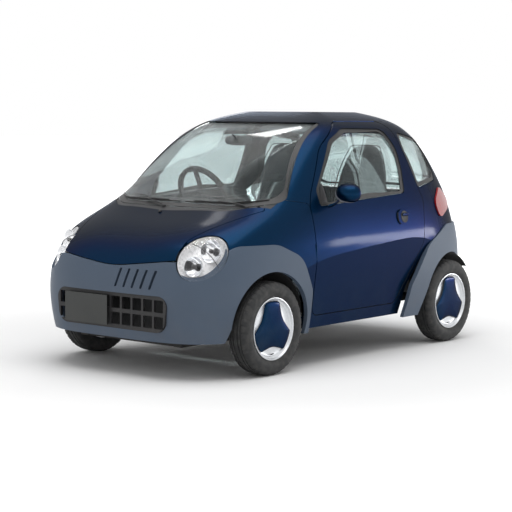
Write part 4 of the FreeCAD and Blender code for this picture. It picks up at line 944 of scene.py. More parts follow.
@dataclass
class HeadLamp:
    """A clear lens over a silvered bowl with two reflectors and their bulbs."""

    side: Side
    x: float = 1.210
    y: float = 0.547
    z: float = 0.684
    half_long: float = 0.157
    half_short: float = 0.118
    lens_wall: float = 0.003
    lens_steps: int = 56
    bowl_share: float = 0.97
    dish_depth: float = 0.040
    dish_steps: int = 36
    bulb_radius: float = 0.013
    bar_radius: float = 0.0022

    def axes(self) -> tuple[Vector, Vector, Vector, Vector]:
        """The lamp's middle, outward direction, long axis and short axis."""
        sign = self.side.value
        out = Vector((0.684, 0.450 * sign, 0.574)).normalized()
        long = Vector((-0.723, 0.317 * sign, 0.613)).normalized()
        short = out.cross(long).normalized()
        return Vector((self.x, self.y * sign, self.z)), out, long, short

    def on_lens(self, skin: Skin, across: float, up: float) -> Vector:
        """A point on the CAD lens at a place in the lamp's own plane."""
        middle, out, long, short = self.axes()
        start = middle + long * across + short * up + out * 0.4
        return skin.hit(start, -out)[0]

    def outline(self, scale: float) -> list[tuple[float, float]]:
        """Places round the lamp's outline in its own plane, scaled about its middle."""
        places = []
        for step in range(self.lens_steps):
            angle = 2 * math.pi * step / self.lens_steps
            across = scale * self.half_long * math.cos(angle)
            places.append((across, scale * self.half_short * math.sin(angle)))
        return places

    def lens(self, skin: Skin) -> bpy.types.Object:
        """The clear lens as a thin closed shell."""
        _, out, _, _ = self.axes()
        fronts, backs = [], []
        for scale in (0.98, 0.92, 0.84, 0.72, 0.58, 0.42, 0.25, 0.08):
            ring = [self.on_lens(skin, across, up) for across, up in self.outline(scale)]
            fronts.append(ring)
            backs.append([point - out * self.lens_wall for point in ring])
        points, faces = loft(list(reversed(backs)) + fronts)
        return piece("headlamp_lens_" + self.side.tag, points, faces, LENS, "chassis", 50.0)

    def bowl(self, skin: Skin) -> bpy.types.Object:
        """The silvered bowl behind the lens."""
        middle, out, long, short = self.axes()
        rings = []
        for scale, depth in (
            (0.97, 0.006),
            (0.93, 0.030),
            (0.84, 0.052),
            (0.66, 0.066),
            (0.35, 0.072),
            (0.05, 0.074),
        ):
            share = scale / self.bowl_share
            ring = []
            for across, up in self.outline(self.bowl_share):
                height = (self.on_lens(skin, across, up) - middle).dot(out)
                flat = middle + long * across * share + short * up * share
                ring.append(flat + out * (height * share**2 - depth))
            rings.append(ring)
        points, faces = loft(rings, caps=False)
        faces.append(tuple(range(len(points) - self.lens_steps, len(points))))
        return piece("headlamp_bowl_" + self.side.tag, points, faces, CHAMBER, "chassis", 50.0)

    def dish_axes(self, across: float, up: float) -> tuple[Vector, Vector, Vector, Vector]:
        """A reflector's middle, its direction inward, its right and its rise."""
        middle, out, long, short = self.axes()
        ahead = Vector((0.93, 0.25 * self.side.value, 0.15)).normalized()
        right = ahead.cross(UP).normalized()
        centre = middle + long * across + short * up - out * self.dish_depth
        return centre, -ahead, right, right.cross(ahead)

    def reflector(self, name: str, across: float, up: float, radius: float) -> bpy.types.Object:
        """A round polished dish, open ahead."""
        centre, inward, right, rise = self.dish_axes(across, up)
        profile = (
            (1.0, 0.0),
            (1.0, -0.004),
            (0.95, -0.004),
            (0.8, 0.010),
            (0.6, 0.021),
            (0.35, 0.029),
            (0.1, 0.032),
        )
        across_full, up_full = right * radius, rise * radius
        rings = stacked(profile, centre, inward, across_full, up_full, 2.0, self.dish_steps)
        points, faces = loft(rings, caps=False)
        faces.append(tuple(range(len(points) - self.dish_steps, len(points))))
        return piece(name, points, faces, MIRRORED, "chassis", 40.0)

    def bulb(self, name: str, across: float, up: float) -> bpy.types.Object:
        """The bulb's rounded dark cap."""
        centre, inward, right, rise = self.dish_axes(across, up)
        profile = (
            (0.55, 0.028),
            (0.9, 0.012),
            (1.0, 0.002),
            (0.85, -0.006),
            (0.5, -0.011),
            (0.1, -0.013),
        )
        size = self.bulb_radius
        points, faces = loft(stacked(profile, centre, inward, right * size, rise * size, 2.0, 20))
        return piece(name, points, faces, CASTING, "chassis", 60.0)

    def brow(self, skin: Skin) -> bpy.types.Object:
        """The dark bar between the two dishes, bowed across the lamp."""
        _, out, _, _ = self.axes()
        route = []
        for step in range(13):
            share = -1.0 + step / 6
            place = self.on_lens(skin, 0.022 + 0.012 * (1 - share**2), share * 0.100)
            route.append(place - out * 0.010)
        return rod("headlamp_bar_" + self.side.tag, route, self.bar_radius, CASTING, "chassis")

    def build(self, skin: Skin) -> list[bpy.types.Object]:
        """All pieces of the lamp."""
        tag = self.side.tag
        return [
            self.lens(skin),
            self.bowl(skin),
            self.reflector("headlamp_dish_high_" + tag, 0.062, 0.0, 0.062),
            self.bulb("headlamp_bulb_high_" + tag, 0.062, 0.0),
            self.reflector("headlamp_dish_low_" + tag, -0.068, 0.0, 0.056),
            self.bulb("headlamp_bulb_low_" + tag, -0.068, 0.0),
            self.brow(skin),
        ]


@dataclass
class DoorMirror:
    """An egg-shaped mirror housing on a short foot."""

    side: Side
    x_front: float = 0.289
    x_rear: float = 0.207
    y: float = 0.786
    z: float = 0.990
    half_width: float = 0.080
    half_height: float = 0.056

    @property
    def body(self) -> str:
        """The door's body."""
        return "door_assembly_" + self.side.tag

    def ring(self, x: float, share: float) -> Ring:
        """A cross ring of the housing."""
        sign = self.side.value
        middle = Vector((x, self.y * sign, self.z))
        across = Vector((0, self.half_width * share, 0))
        return oval(middle, across, Vector((0, 0, self.half_height * share)), 2.3, 40)

    def housing(self) -> bpy.types.Object:
        """The painted shell, open to the rear."""
        span = self.x_front - self.x_rear
        rings = [
            self.ring(self.x_rear + inward, share)
            for inward, share in ((0.012, 0.86), (0.0, 0.93), (0.0, 0.97))
        ]
        for share in (0.1, 0.25, 0.42, 0.58, 0.72, 0.84, 0.93, 0.98):
            size = math.sqrt(max(1 - share**2.6, 0.02))
            rings.append(self.ring(self.x_rear + span * share, size))
        rings.append(self.ring(self.x_front, 0.05))
        points, faces = loft(rings)
        made = piece("mirror_shell_" + self.side.tag, points, faces, BODY_PAINT, self.body, 40.0)
        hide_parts("mirror_" + self.side.tag)
        return made

    def glass(self) -> bpy.types.Object:
        """The mirror glass in the shell's opening."""
        rings = [
            self.ring(self.x_rear + inward, share)
            for inward, share in ((0.0115, 0.85), (0.0095, 0.85), (0.0080, 0.80))
        ]
        points, faces = loft(rings)
        return piece("mirror_glass_" + self.side.tag, points, faces, MIRRORED, self.body, 40.0)

    def foot(self) -> bpy.types.Object:
        """The painted stalk that joins the shell to the door."""
        sign = self.side.value
        route = [
            Vector((0.268, 0.690 * sign, 0.915)),
            Vector((0.262, 0.706 * sign, 0.920)),
            Vector((0.256, 0.722 * sign, 0.930)),
            Vector((0.252, 0.738 * sign, 0.946)),
            Vector((0.250, 0.752 * sign, 0.966)),
        ]
        rings = []
        for index, place in enumerate(route):
            size = 0.020 - 0.002 * index
            rise = Vector((0, 0.4 * size * sign, 0.6 * size))
            rings.append(oval(place, Vector((size, 0, 0)), rise, 2.4, 24))
        points, faces = loft(rings)
        return piece("mirror_stalk_" + self.side.tag, points, faces, BODY_PAINT, self.body, 45.0)

    def build(self) -> list[bpy.types.Object]:
        """All pieces of the mirror."""
        return [self.housing(), self.glass(), self.foot()]


@dataclass
class Seat:
    """A high-backed bucket seat: a sewn back pad and cushion of swelled foam."""

    side: Side
    x: float = -0.190
    y: float = 0.320
    base: float = 0.296
    voxel: float = 0.009
    swell_cap: float = 0.012
    pressure: float = 4.0
    frames: int = 20
    channel_depth: float = 0.007
    level_channel_width: float = 0.009
    side_channel_width: float = 0.007
    side_channel: float = 0.135

    @property
    def shift(self) -> Vector:
        """From the seat's own middle plane to its place."""
        return Vector((0.0, self.y * self.side.value, 0.0))

    def back_sections(self) -> list[Ring]:
        """Level sections of the backrest: height, middle, half depth, half width."""
        rings = []
        for height, middle, depth, width in (
            (0.090, -0.258, 0.040, 0.170),
            (0.105, -0.258, 0.062, 0.206),
            (0.150, -0.266, 0.066, 0.218),
            (0.250, -0.281, 0.062, 0.222),
            (0.400, -0.305, 0.056, 0.218),
            (0.550, -0.331, 0.049, 0.208),
            (0.680, -0.354, 0.043, 0.192),
            (0.780, -0.372, 0.038, 0.172),
            (0.860, -0.388, 0.034, 0.146),
            (0.915, -0.398, 0.030, 0.116),
            (0.946, -0.404, 0.024, 0.084),
            (0.960, -0.407, 0.012, 0.048),
        ):
            centre = Vector((self.x + middle, 0.0, self.base + height))
            rings.append(oval(centre, Vector((depth, 0, 0)), Vector((0, width, 0)), 3.0, 48))
        return rings

    def cushion_sections(self) -> list[Ring]:
        """Upright sections of the cushion: place, middle height, half height, half width."""
        rings = []
        for along, middle, height, width in (
            (-0.150, 0.060, 0.030, 0.170),
            (-0.135, 0.060, 0.044, 0.200),
            (-0.060, 0.062, 0.050, 0.212),
            (0.050, 0.064, 0.054, 0.214),
            (0.140, 0.067, 0.056, 0.210),
            (0.190, 0.068, 0.052, 0.204),
            (0.212, 0.068, 0.038, 0.190),
            (0.222, 0.066, 0.016, 0.170),
        ):
            centre = Vector((self.x + along, 0.0, self.base + middle))
            rings.append(oval(centre, Vector((0, width, 0)), Vector((0, 0, height)), 3.0, 48))
        return rings

    def swelled(self, name: str, sections: list[Ring]) -> tuple[Ring, list]:
        """A pad's mesh after its foam has swelled in a cloth simulation.

        Args:
            name: The pad's name.
            sections: Its cross rings, slightly smaller than the finished pad.

        Returns:
            The points and faces of the swelled pad.
        """
        points, faces = loft(sections)
        mesh = bpy.data.meshes.new(name + "_draft")
        mesh.from_pydata([tuple(point) for point in points], [], [tuple(face) for face in faces])
        draft = bpy.data.objects.new(name + "_draft", mesh)
        scene = bpy.context.scene
        scene.collection.objects.link(draft)
        remesh = draft.modifiers.new("even", "REMESH")
        remesh.mode = "VOXEL"
        remesh.voxel_size = self.voxel
        even = self.evaluated(draft)
        before = [vertex.co.copy() for vertex in even.vertices]
        draft.modifiers.clear()
        draft.data = even
        cloth = draft.modifiers.new("foam", "CLOTH")
        cloth.settings.use_pressure = True
        cloth.settings.uniform_pressure_force = self.pressure
        cloth.settings.effector_weights.gravity = 0.0
        for frame in range(1, self.frames + 1):
            scene.frame_set(frame)
        after = self.evaluated(draft)
        moved = []
        for start, vertex in zip(before, after.vertices):
            step = vertex.co - start
            if step.length > self.swell_cap:
                step = step.normalized() * self.swell_cap
            moved.append(start + step)
        swelled_faces = [tuple(polygon.vertices) for polygon in after.polygons]
        scene.frame_set(1)
        bpy.data.objects.remove(draft)
        return moved, swelled_faces

    @staticmethod
    def evaluated(draft: bpy.types.Object) -> bpy.types.Mesh:
        """A copy of an object's mesh with its modifiers in force."""
        graph = bpy.context.evaluated_depsgraph_get()
        return bpy.data.meshes.new_from_object(draft.evaluated_get(graph))

    def channelled(self, points: Ring, channels: Sequence[float], height_axis: int) -> Ring:
        """Presses sewn channels into a pad's front, across it at given places.

        Args:
            points: The pad's points.
            channels: Where the seams run, from the seat's base or its own x.
            height_axis: 2 for the backrest and 0 for the cushion.

        Returns:
            The pressed points.
        """
        start = self.base if height_axis == 2 else self.x
        pressed = []
        for point in points:
            share = 0.0
            for channel in channels:
                off = (point[height_axis] - start - channel) / self.level_channel_width
                share = max(share, math.exp(-(off**2)))
            for line in (-self.side_channel, self.side_channel):
                off = (point[1] - line) / self.side_channel_width
                share = max(share, math.exp(-(off**2)))
            depth = -self.channel_depth
            pull = Vector((depth, 0, 0)) if height_axis == 2 else Vector((0, 0, depth))
            centre = -0.258 - 0.156 * (point[2] - self.base - 0.09) if height_axis == 2 else 0.06
            ahead = point[0] - self.x - centre if height_axis == 2 else point[2] - self.base - centre
            pressed.append(point + pull * share * (1.0 if ahead > 0.02 else 0.0))
        return pressed

    def pads(self) -> dict[str, tuple[Ring, list]]:
        """The back pad and the cushion on the seat's middle plane, ready to place."""
        back, back_faces = self.swelled("seat_back", self.back_sections())
        cushion, cushion_faces = self.swelled("seat_cushion", self.cushion_sections())
        return {
            "back": (self.channelled(back, (0.34, 0.52, 0.70), 2), back_faces),
            "cushion": (self.channelled(cushion, (-0.03, 0.10), 0), cushion_faces),
        }

    def build(self, pads: dict[str, tuple[Ring, list]]) -> list[bpy.types.Object]:
        """The seat's two pads, its shell and its piping."""
        tag = self.side.tag
        made = []
        for part, (points, faces) in pads.items():
            placed = [point + self.shift for point in points]
            pad = piece("seat_%s_%s" % (part, tag), placed, faces, SEAT_CLOTH, "chassis", 60.0)
            smoother = pad.modifiers.new("round", "SUBSURF")
            smoother.levels = smoother.render_levels = 1
            made.append(pad)
        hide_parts("seat_" + tag)
        made.append(self.shell())
        made.append(self.piping())
        return made

    def shell(self) -> bpy.types.Object:
        """The hard tray below the cushion."""
        profile = ((0.90, 0.002), (0.94, 0.004), (1.0, 0.022), (0.98, 0.030), (0.90, 0.032))
        foot = self.shift + Vector((self.x - 0.030, 0.0, self.base))
        across, deep = Vector((0.215, 0, 0)), Vector((0, 0.200, 0))
        points, faces = loft(stacked(profile, foot, UP, across, deep, 4.0, 40))
        return piece("seat_tray_" + self.side.tag, points, faces, CABIN_PLASTIC, "chassis", 40.0)

    def piping(self) -> bpy.types.Object:
        """The cord that is sewn round the back pad's edge."""
        route = []
        sections = self.back_sections()
        for ring, sign in ((sections[2:-1], 1), (list(reversed(sections[2:-1])), -1)):
            for level in ring:
                middle = sum(level, Vector()) / len(level)
                half = max(point.y for point in level)
                route.append(self.shift + Vector((middle.x + 0.012, sign * (half + 0.006), middle.z)))
        return rod("seat_piping_" + self.side.tag, arc(route, 4), 0.003, SEAL_RUBBER, "chassis")


@dataclass
class GlassSeal:
    """The rubber border round one pane, laid on its outer face."""

    name: str
    node: str
    view: Place
    width: float
    body: str
    side: Side | None = None
    from_edge: float = 0.003
    lift: float = 0.0022
    stations: int = 120

    def plane(self) -> tuple[Vector, Vector, Vector]:
        """The viewing direction and two axes across it."""
        toward = Vector(self.view).normalized()
        level = UP.cross(toward).normalized()
        return toward, level, toward.cross(level)

    def covers(self, skin: Skin, across: float, up: float) -> bool:
        """Whether the pane lies behind a place in the viewing plane."""
        toward, level, rise = self.plane()
        start = level * across + rise * up + toward * 3.0
        return skin.tree.ray_cast(start, -toward, 3.0 if self.side else 9.0)[0] is not None

    def edge(self, skin: Skin) -> list[tuple[float, float]]:
        """The pane's outline in the viewing plane, evenly spaced."""
        _, level, rise = self.plane()
        marks = [
            (vertex.co.dot(level), vertex.co.dot(rise))
            for vertex in FRAME["nodes"][self.node].data.vertices
            if self.side is None or vertex.co.y * self.side.value > 0
        ]
        middle = [(min(values) + max(values)) / 2 for values in zip(*marks)]
        outline = []
        for station in range(3 * self.stations):
            angle = 2 * math.pi * station / (3 * self.stations)
            inner, outer = 0.0, 1.2
            while outer - inner > 0.0004:
                reach = (inner + outer) / 2
                if self.covers(skin, *around(middle, reach, angle)):
                    inner = reach
                else:
                    outer = reach
            outline.append(around(middle, inner, angle))
        return evenly(outline, self.stations)

    def build(self) -> bpy.types.Object:
        """The seal as one closed band."""
        toward, level, rise = self.plane()
        skin = Skin((self.node,))
        edge = self.edge(skin)
        middle = [sum(mark[axis] for mark in edge) / len(edge) for axis in (0, 1)]
        sections = []
        for across, up in edge:
            inward = Vector((middle[0] - across, middle[1] - up)).normalized()
            section: Ring = []
            near, far = self.from_edge, self.from_edge + self.width
            for inset, height in ((near, 0.0), (near, self.lift), (far, self.lift), (far, 0.0)):
                while not self.covers(skin, across + inward.x * inset, up + inward.y * inset):
                    inset += 0.002
                flat = level * (across + inward.x * inset) + rise * (up + inward.y * inset)
                place, normal = skin.hit(tuple(flat + toward * 3.0), tuple(-toward))
                section.append(place + normal * height)
            sections.append(section)
        points, faces = loft(sections + sections[:1], closed_ring=True, caps=False)
        made = piece(self.name, points, faces, SEAL_RUBBER, self.body, 30.0)
        weld(made)
        return made


def around(middle: Sequence[float], reach: float, angle: float) -> tuple[float, float]:
    """The place at a distance and an angle from a middle."""
    return middle[0] + reach * math.cos(angle), middle[1] + reach * math.sin(angle)


def evenly(outline: Sequence[tuple[float, float]], count: int) -> list[tuple[float, float]]:
    """Points at equal steps along a closed outline."""
    closed = list(outline) + [outline[0]]
    lengths = [0.0]
    for first, second in zip(closed, closed[1:]):
        lengths.append(lengths[-1] + math.dist(first, second))
    spaced = []
    leg = 0
    for step in range(count):
        goal = lengths[-1] * step / count
        while lengths[leg + 1] < goal:
            leg += 1
        share = (goal - lengths[leg]) / max(lengths[leg + 1] - lengths[leg], 1e-9)
        first, second = closed[leg], closed[leg + 1]
        spaced.append(tuple(a + (b - a) * share for a, b in zip(first, second)))
    return spaced


@dataclass
class Wiper:
    """One parked wiper: pivot cap, sprung arm, frame and rubber blade."""

    name: str
    y_from: float
    y_to: float
    pivot_y: float
    above_edge: float = 0.045

    def lowest(self, skin: Skin, y: float) -> float:
        """How far forward the windscreen reaches at a place across."""
        for step in range(140):
            x = 0.90 - 0.005 * step
            if skin.tree.ray_cast(Vector((x, y, 3.0)), Vector((0, 0, -1)))[0] is not None:
                return x
        raise ValueError("no windscreen at %g" % y)

    def line(self, skin: Skin, lift: float, count: int = 15) -> Ring:
        """Points along the blade at a height over the glass."""
        route = []
        for step in range(count):
            y = self.y_from + (self.y_to - self.y_from) * step / (count - 1)
            place, normal = skin.above(self.lowest(skin, y) - self.above_edge, y)
            route.append(place + normal * lift)
        return route

    def build(self, skin: Skin, cowl: Skin) -> list[bpy.types.Object]:
        """All pieces of the wiper."""
        blade = rod(self.name + "_blade", self.line(skin, 0.005), 0.0045, SEAL_RUBBER, "chassis")
        frame_line = self.line(skin, 0.013)[2:-2]
        frame = rod(self.name + "_frame", frame_line, 0.0035, BLACK_PLASTIC, "chassis")
        root, _ = cowl.nearest((self.lowest(skin, self.pivot_y) + 0.022, self.pivot_y, 0.93))
        profile = ((1.0, -0.002), (1.0, 0.006), (0.9, 0.010), (0.6, 0.012), (0.1, 0.0125))
        across, deep = Vector((0.013, 0, 0)), Vector((0, 0.013, 0))
        points, faces = loft(stacked(profile, root, UP, across, deep, 2.0, 24))
        cap = piece(self.name + "_cap", points, faces, BLACK_PLASTIC, "chassis", 40.0)
        clip = self.line(skin, 0.018)[7]
        bend = root.lerp(clip, 0.35) + Vector((0, 0, 0.010))
        route = arc([root + Vector((0, 0, 0.008)), bend, clip], 8)
        arm = rod(self.name + "_arm", route, 0.005, BLACK_PLASTIC, "chassis")
        return [blade, frame, cap, arm]


@dataclass
class CabinMirror:
    """The rear-view mirror on its stalk behind the windscreen."""

    x: float = 0.27
    z: float = 1.275
    half_width: float = 0.105
    half_height: float = 0.030

    def build(self) -> list[bpy.types.Object]:
        """The housing, its glass and the stalk."""
        middle, ahead = Vector((self.x, 0.0, self.z)), Vector((1.0, 0.0, 0.0))
        across, rise = Vector((0, self.half_width, 0)), Vector((0, 0, self.half_height))
        back = ((0.1, 0.014), (0.6, 0.013), (0.88, 0.009), (0.98, 0.002), (1.0, -0.006), (0.96, -0.008))
        points, faces = loft(stacked(back, middle, ahead, across, rise, 3.0, 40))
        housing = piece("cabin_mirror_housing", points, faces, CABIN_PLASTIC, "chassis", 40.0)
        face = ((0.93, -0.0082), (0.93, -0.0092), (0.88, -0.0094))
        points, faces = loft(stacked(face, middle, ahead, across, rise, 3.0, 40))
        glass = piece("cabin_mirror_glass", points, faces, MIRRORED, "chassis", 40.0)
        foot = Vector((self.x + 0.055, 0.0, self.z + 0.035))
        bend = Vector((self.x + 0.03, 0, self.z + 0.022))
        route = arc([Vector((self.x + 0.006, 0, self.z)), bend, foot], 6)
        stalk = rod("cabin_mirror_stalk", route, 0.006, CABIN_PLASTIC, "chassis")
        return [housing, glass, stalk]


@dataclass
class SunVisor:
    """A padded visor folded up under the windscreen's top edge."""

    side: Side
    y_inner: float = 0.030
    y_outer: float = 0.440
    below: float = 0.040
    half_thick: float = 0.008

    def build(self, skin: Skin) -> bpy.types.Object:
        """The visor, as a soft-edged board that follows the glass."""
        rings = []
        stations = 12
        for station in range(stations + 1):
            share = station / stations
            y = (self.y_inner + (self.y_outer - self.y_inner) * share) * self.side.value
            soft = math.sqrt(max(1 - (2 * share - 1) ** 8, 0.04))
            front, normal = skin.above(0.165, y)
            rear, _ = skin.above(0.045, y)
            front, rear = front - normal * self.below, rear - normal * self.below
            middle, along = (front + rear) / 2, (front - rear) / 2
            rings.append(oval(middle, along * soft, normal * (self.half_thick * soft), 3.0, 28))
        points, faces = loft(rings)
        return piece("sun_visor_" + self.side.tag, points, faces, SEAT_CLOTH, "chassis", 60.0)


@dataclass
class SailPatch:
    """The black cover in the door window's front lower corner."""

    side: Side

    def build(self) -> bpy.types.Object:
        """The patch, laid on the pane."""
        skin = Skin(("door_glass_" + self.side.tag,))
        outline = [
            Vector(mark)
            for mark in (
                (0.330, 0.930),
                (0.318, 0.985),
                (0.296, 1.040),
                (0.286, 1.044),
                (0.280, 1.02),
                (0.272, 0.930),
            )
        ]
        middle = sum(outline, Vector((0.0, 0.0))) / len(outline)
        rings = []
        for share, lift in ((1.0, 0.0), (1.0, 0.003), (0.9, 0.0045), (0.3, 0.005)):
            ring = []
            for mark in outline:
                spot = middle + (mark - middle) * share
                place, normal = skin.beside(spot.x, spot.y, self.side)
                ring.append(place + normal * lift)
            rings.append(ring)
        points, faces = loft(rings)
        tag = self.side.tag
        return piece("sail_patch_" + tag, points, faces, BLACK_PLASTIC, "door_assembly_" + tag, 40.0)


@dataclass
class HandleShadeAndLever:
    """A dark disc laid on the door handle's plate as painted shade for its round recess, with its
    lever.
    """

    side: Side
    x: float = -0.449
    z: float = 0.822
    radius: float = 0.036
    steps: int = 40

    def laid(self, skin: Skin, along: float, rise: float, lift: float) -> Vector:
        """A point over the handle's plate."""
        place, normal = skin.beside(self.x + along, self.z + rise, self.side)
        return place + normal * lift

    def build(self) -> list[bpy.types.Object]:
        """The dark disc of painted recess shade, and the lever."""
        tag = self.side.tag
        body = "door_assembly_" + tag
        skin = Skin(("handle_" + tag,))
        rings = []
        for share, lift in (
            (1.0, 0.0),
            (1.0, 0.0015),
            (0.93, 0.0022),
            (0.86, 0.0012),
            (0.4, 0.0008),
            (0.05, 0.0008),
        ):
            ring = []
            for step in range(self.steps):
                angle = 2 * math.pi * step / self.steps
                reach = self.radius * share
                ring.append(self.laid(skin, reach * math.cos(angle), reach * math.sin(angle), lift))
            rings.append(ring)
        points, faces = loft(rings)
        # Painted shade: a flat black disc on the plate stands in for the shadow in the handle's recess.
        dish = piece("handle_dish_" + tag, points, faces, BLACK_PLASTIC, body, 40.0)
        lever_rings = []
        for along, size in (
            (-0.042, 0.3),
            (-0.040, 0.8),
            (-0.02, 1.0),
            (0.006, 1.0),
            (0.022, 0.8),
            (0.024, 0.3),
        ):
            centre = self.laid(skin, along, 0.012, 0.004)
            thick, tall = Vector((0, 0.0045 * size, 0)), Vector((0, 0, 0.010 * size))
            lever_rings.append(oval(centre, thick, tall, 2.6, 20))
        points, faces = loft(lever_rings)
        lever = piece("handle_lever_" + tag, points, faces, BODY_PAINT, body, 40.0)
        return [dish, lever]


@dataclass
class WasherJet:
    """The small washer nozzle on the bonnet."""

    x: float = 0.93
    y: float = -0.02

    def build(self) -> bpy.types.Object:
        """The rounded nozzle on its base."""
        root, _ = Skin(("bonnet",)).above(self.x, self.y)
        profile = ((1.0, -0.001), (1.0, 0.003), (0.8, 0.008), (0.45, 0.011), (0.1, 0.012))
        across, deep = Vector((0.013, 0, 0)), Vector((0, 0.009, 0))
        points, faces = loft(stacked(profile, root, UP, across, deep, 2.2, 20))
        return piece("washer_jet", points, faces, BLACK_PLASTIC, BODY_OF["bonnet"], 40.0)


# Studio

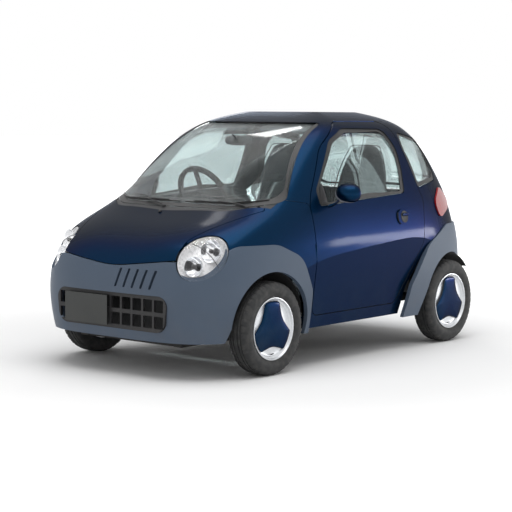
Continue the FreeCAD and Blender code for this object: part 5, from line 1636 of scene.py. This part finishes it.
@dataclass
class Studio:
    """The floor, the lamps and the camera of the photograph."""

    camera_place: Place = (7.47540, 6.09845, 1.44224)
    camera_forward: Place = (-0.76770, -0.63437, -0.09062)
    camera_roll_deg: float = 0.479
    focal_px: float = 1575.15
    picture_px: float = 512.0
    sensor_mm: float = 36.0
    floor_colour: Colour = (0.94, 0.94, 0.94)
    floor_fade: tuple[float, float] = (1.5, 6.5)

    def camera(self) -> bpy.types.Object:
        """The camera at the photograph's place and angle."""
        data = bpy.data.cameras.new("photo_camera")
        data.sensor_width = self.sensor_mm
        data.lens = self.focal_px / self.picture_px * self.sensor_mm
        data.clip_end = 200.0
        forward = Vector(self.camera_forward).normalized()
        level = forward.cross(UP).normalized()
        above = level.cross(forward)
        roll = math.radians(self.camera_roll_deg)
        right = math.cos(roll) * level + math.sin(roll) * above
        up = right.cross(forward)
        turn = Matrix((right, up, -forward)).transposed().to_4x4()
        made = bpy.data.objects.new("photo_camera", data)
        made.matrix_world = Matrix.Translation(Vector(self.camera_place)) @ turn
        bpy.context.scene.collection.objects.link(made)
        bpy.context.scene.camera = made
        return made

    def softbox(
        self, name: str, direction: Place, distance: float, size: tuple[float, float], power: float
    ) -> bpy.types.Object:
        """A rectangular lamp that faces the car's middle.

        Args:
            name: The lamp's name.
            direction: From the car towards the lamp.
            distance: How far the lamp stands, in metres.
            size: Its width and height, in metres.
            power: Its power, in watts.

        Returns:
            The lamp object.
        """
        data = bpy.data.lights.new(name, "AREA")
        data.shape = "RECTANGLE"
        data.size, data.size_y = size
        data.energy = power
        toward = Vector(direction).normalized()
        made = bpy.data.objects.new(name, data)
        made.location = Vector((0, 0, 0.6)) + toward * distance
        made.rotation_euler = toward.to_track_quat("Z", "Y").to_euler()
        made.visible_camera = False
        bpy.context.scene.collection.objects.link(made)
        return made

    @staticmethod
    def pale_for_lens(wiring: Wiring) -> bpy.types.NodeSocket:
        """1 where the camera, a glossy ray or a ray through glass looks."""
        path = wiring.node("LightPath")
        seen = wiring.math("MAXIMUM", path.outputs["Is Camera Ray"], path.outputs["Is Glossy Ray"])
        return wiring.math("MAXIMUM", seen, path.outputs["Is Transmission Ray"])

    def floor(self) -> bpy.types.Object:
        """The pale floor, with a little glow for the camera so that it reads as white."""
        reach = 60.0
        mesh = bpy.data.meshes.new("studio_floor")
        corners = [(-reach, -reach, 0), (reach, -reach, 0), (reach, reach, 0), (-reach, reach, 0)]
        mesh.from_pydata(corners, [], [(0, 1, 2, 3)])
        made = bpy.data.objects.new("studio_floor", mesh)
        bpy.context.scene.collection.objects.link(made)
        material = bpy.data.materials.new("studio_floor")
        material.use_nodes = True
        shader = material.node_tree.nodes["Principled BSDF"]
        wiring = Wiring(material.node_tree)
        shade = tuple(0.985 * part for part in self.floor_colour)
        colour = wiring.mix(wiring.noise(0.6, 2.0), rgba(shade), rgba(self.floor_colour))
        flat = wiring.node("VectorMath", {0: wiring.place()}, operation="LENGTH")
        near_edge, far_edge = self.floor_fade
        fade = wiring.node(
            "MapRange",
            {0: flat.outputs["Value"], 1: near_edge, 2: far_edge},
            interpolation_type="SMOOTHSTEP",
        )
        white = wiring.math("MULTIPLY", self.pale_for_lens(wiring), fade.outputs[0])
        glow = wiring.mix(white, rgba((0.0, 0.0, 0.0)), rgba((1.0, 1.0, 1.0)))
        Finish.feed(wiring, shader, Base_Color=colour, Emission_Color=glow)
        shader.inputs["Emission Strength"].default_value = 1.0
        shader.inputs["Roughness"].default_value = 0.9
        shader.inputs["Specular IOR Level"].default_value = 0.1
        mesh.materials.append(material)
        return made

    def world(self) -> None:
        """A soft even sky that the camera and glass see as white."""
        made = bpy.data.worlds.new("studio_world")
        made.use_nodes = True
        bpy.context.scene.world = made
        wiring = Wiring(made.node_tree)
        back = made.node_tree.nodes["Background"]
        strength = wiring.blend_values(self.pale_for_lens(wiring), 0.55, 1.0)
        made.node_tree.links.new(strength, back.inputs["Strength"])
        back.inputs["Color"].default_value = (1.0, 1.0, 1.0, 1.0)

    def build(self) -> None:
        """Sets up the whole studio."""
        bpy.context.scene.view_settings.view_transform = "Standard"
        self.camera()
        self.floor()
        self.world()
        self.softbox("top_softbox", (0.1, 0.15, 1.0), 6.0, (6.0, 6.0), 270.0)
        self.softbox("side_band", (-0.83, 0.56, 0.05), 9.0, (2.9, 0.42), 120.0)
        self.softbox("roof_edge", (-0.64, -0.64, 0.30), 9.0, (2.2, 0.5), 34.0)
        self.softbox("bonnet_edge", (-0.42, -0.52, 0.74), 8.0, (1.6, 0.7), 30.0)


def main() -> None:
    """Builds the studio and every sub-assembly in order."""
    logging.basicConfig(level=logging.INFO, format="%(name)s %(message)s")
    Studio().build()
    made = CadPanels().dress()
    for side in Side:
        made += RoadWheel(Axle.FRONT, side, 0.8, 0.655).build()
        made += RoadWheel(Axle.REAR, side, -1.0, 0.645).build()
    lamp_skin = Skin(("headlamps",))
    lamps = [item for side in Side for item in HeadLamp(side).build(lamp_skin)]
    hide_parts("headlamps")
    made += lamps
    pads = Seat(Side.LEFT).pads()
    for side in Side:
        made += DoorMirror(side).build()
        made += Seat(side).build(pads)
        made.append(SailPatch(side).build())
        made += HandleShadeAndLever(side).build()
        out = (0.0, float(side.value), 0.18)
        door = "door_assembly_" + side.tag
        pane = "door_glass_" + side.tag
        seals = (
            GlassSeal("door_glass_seal_" + side.tag, pane, out, 0.030, door),
            GlassSeal("quarter_seal_" + side.tag, "quarter_windows", out, 0.026, "chassis", side),
        )
        made += [seal.build() for seal in seals]
    hatch = BODY_OF["hatch_glass"]
    seals = (
        GlassSeal("windscreen_seal", "windscreen", (1.0, 0.0, 1.1), 0.036, "chassis"),
        GlassSeal(
            "hatch_seal", "hatch_glass", (-1.0, 0.0, 0.7), 0.020, hatch, from_edge=0.022, lift=0.0012
        ),
    )
    made += [seal.build() for seal in seals]
    screen, cowl = Skin(("windscreen",)), Skin(("cowl",))
    made += Wiper("wiper_right", 0.02, -0.55, -0.06).build(screen, cowl)
    made += Wiper("wiper_left", 0.56, 0.06, 0.50).build(screen, cowl)
    header = Skin(("windscreen", "roof_panel", "side_frame_left", "side_frame_right"))
    made += [SunVisor(side).build(header) for side in Side]
    made += CabinMirror().build()
    made.append(WasherJet().build())
    for item in made:
        LOG.info("%s", item.name)


if __name__ == "__main__":
    main()
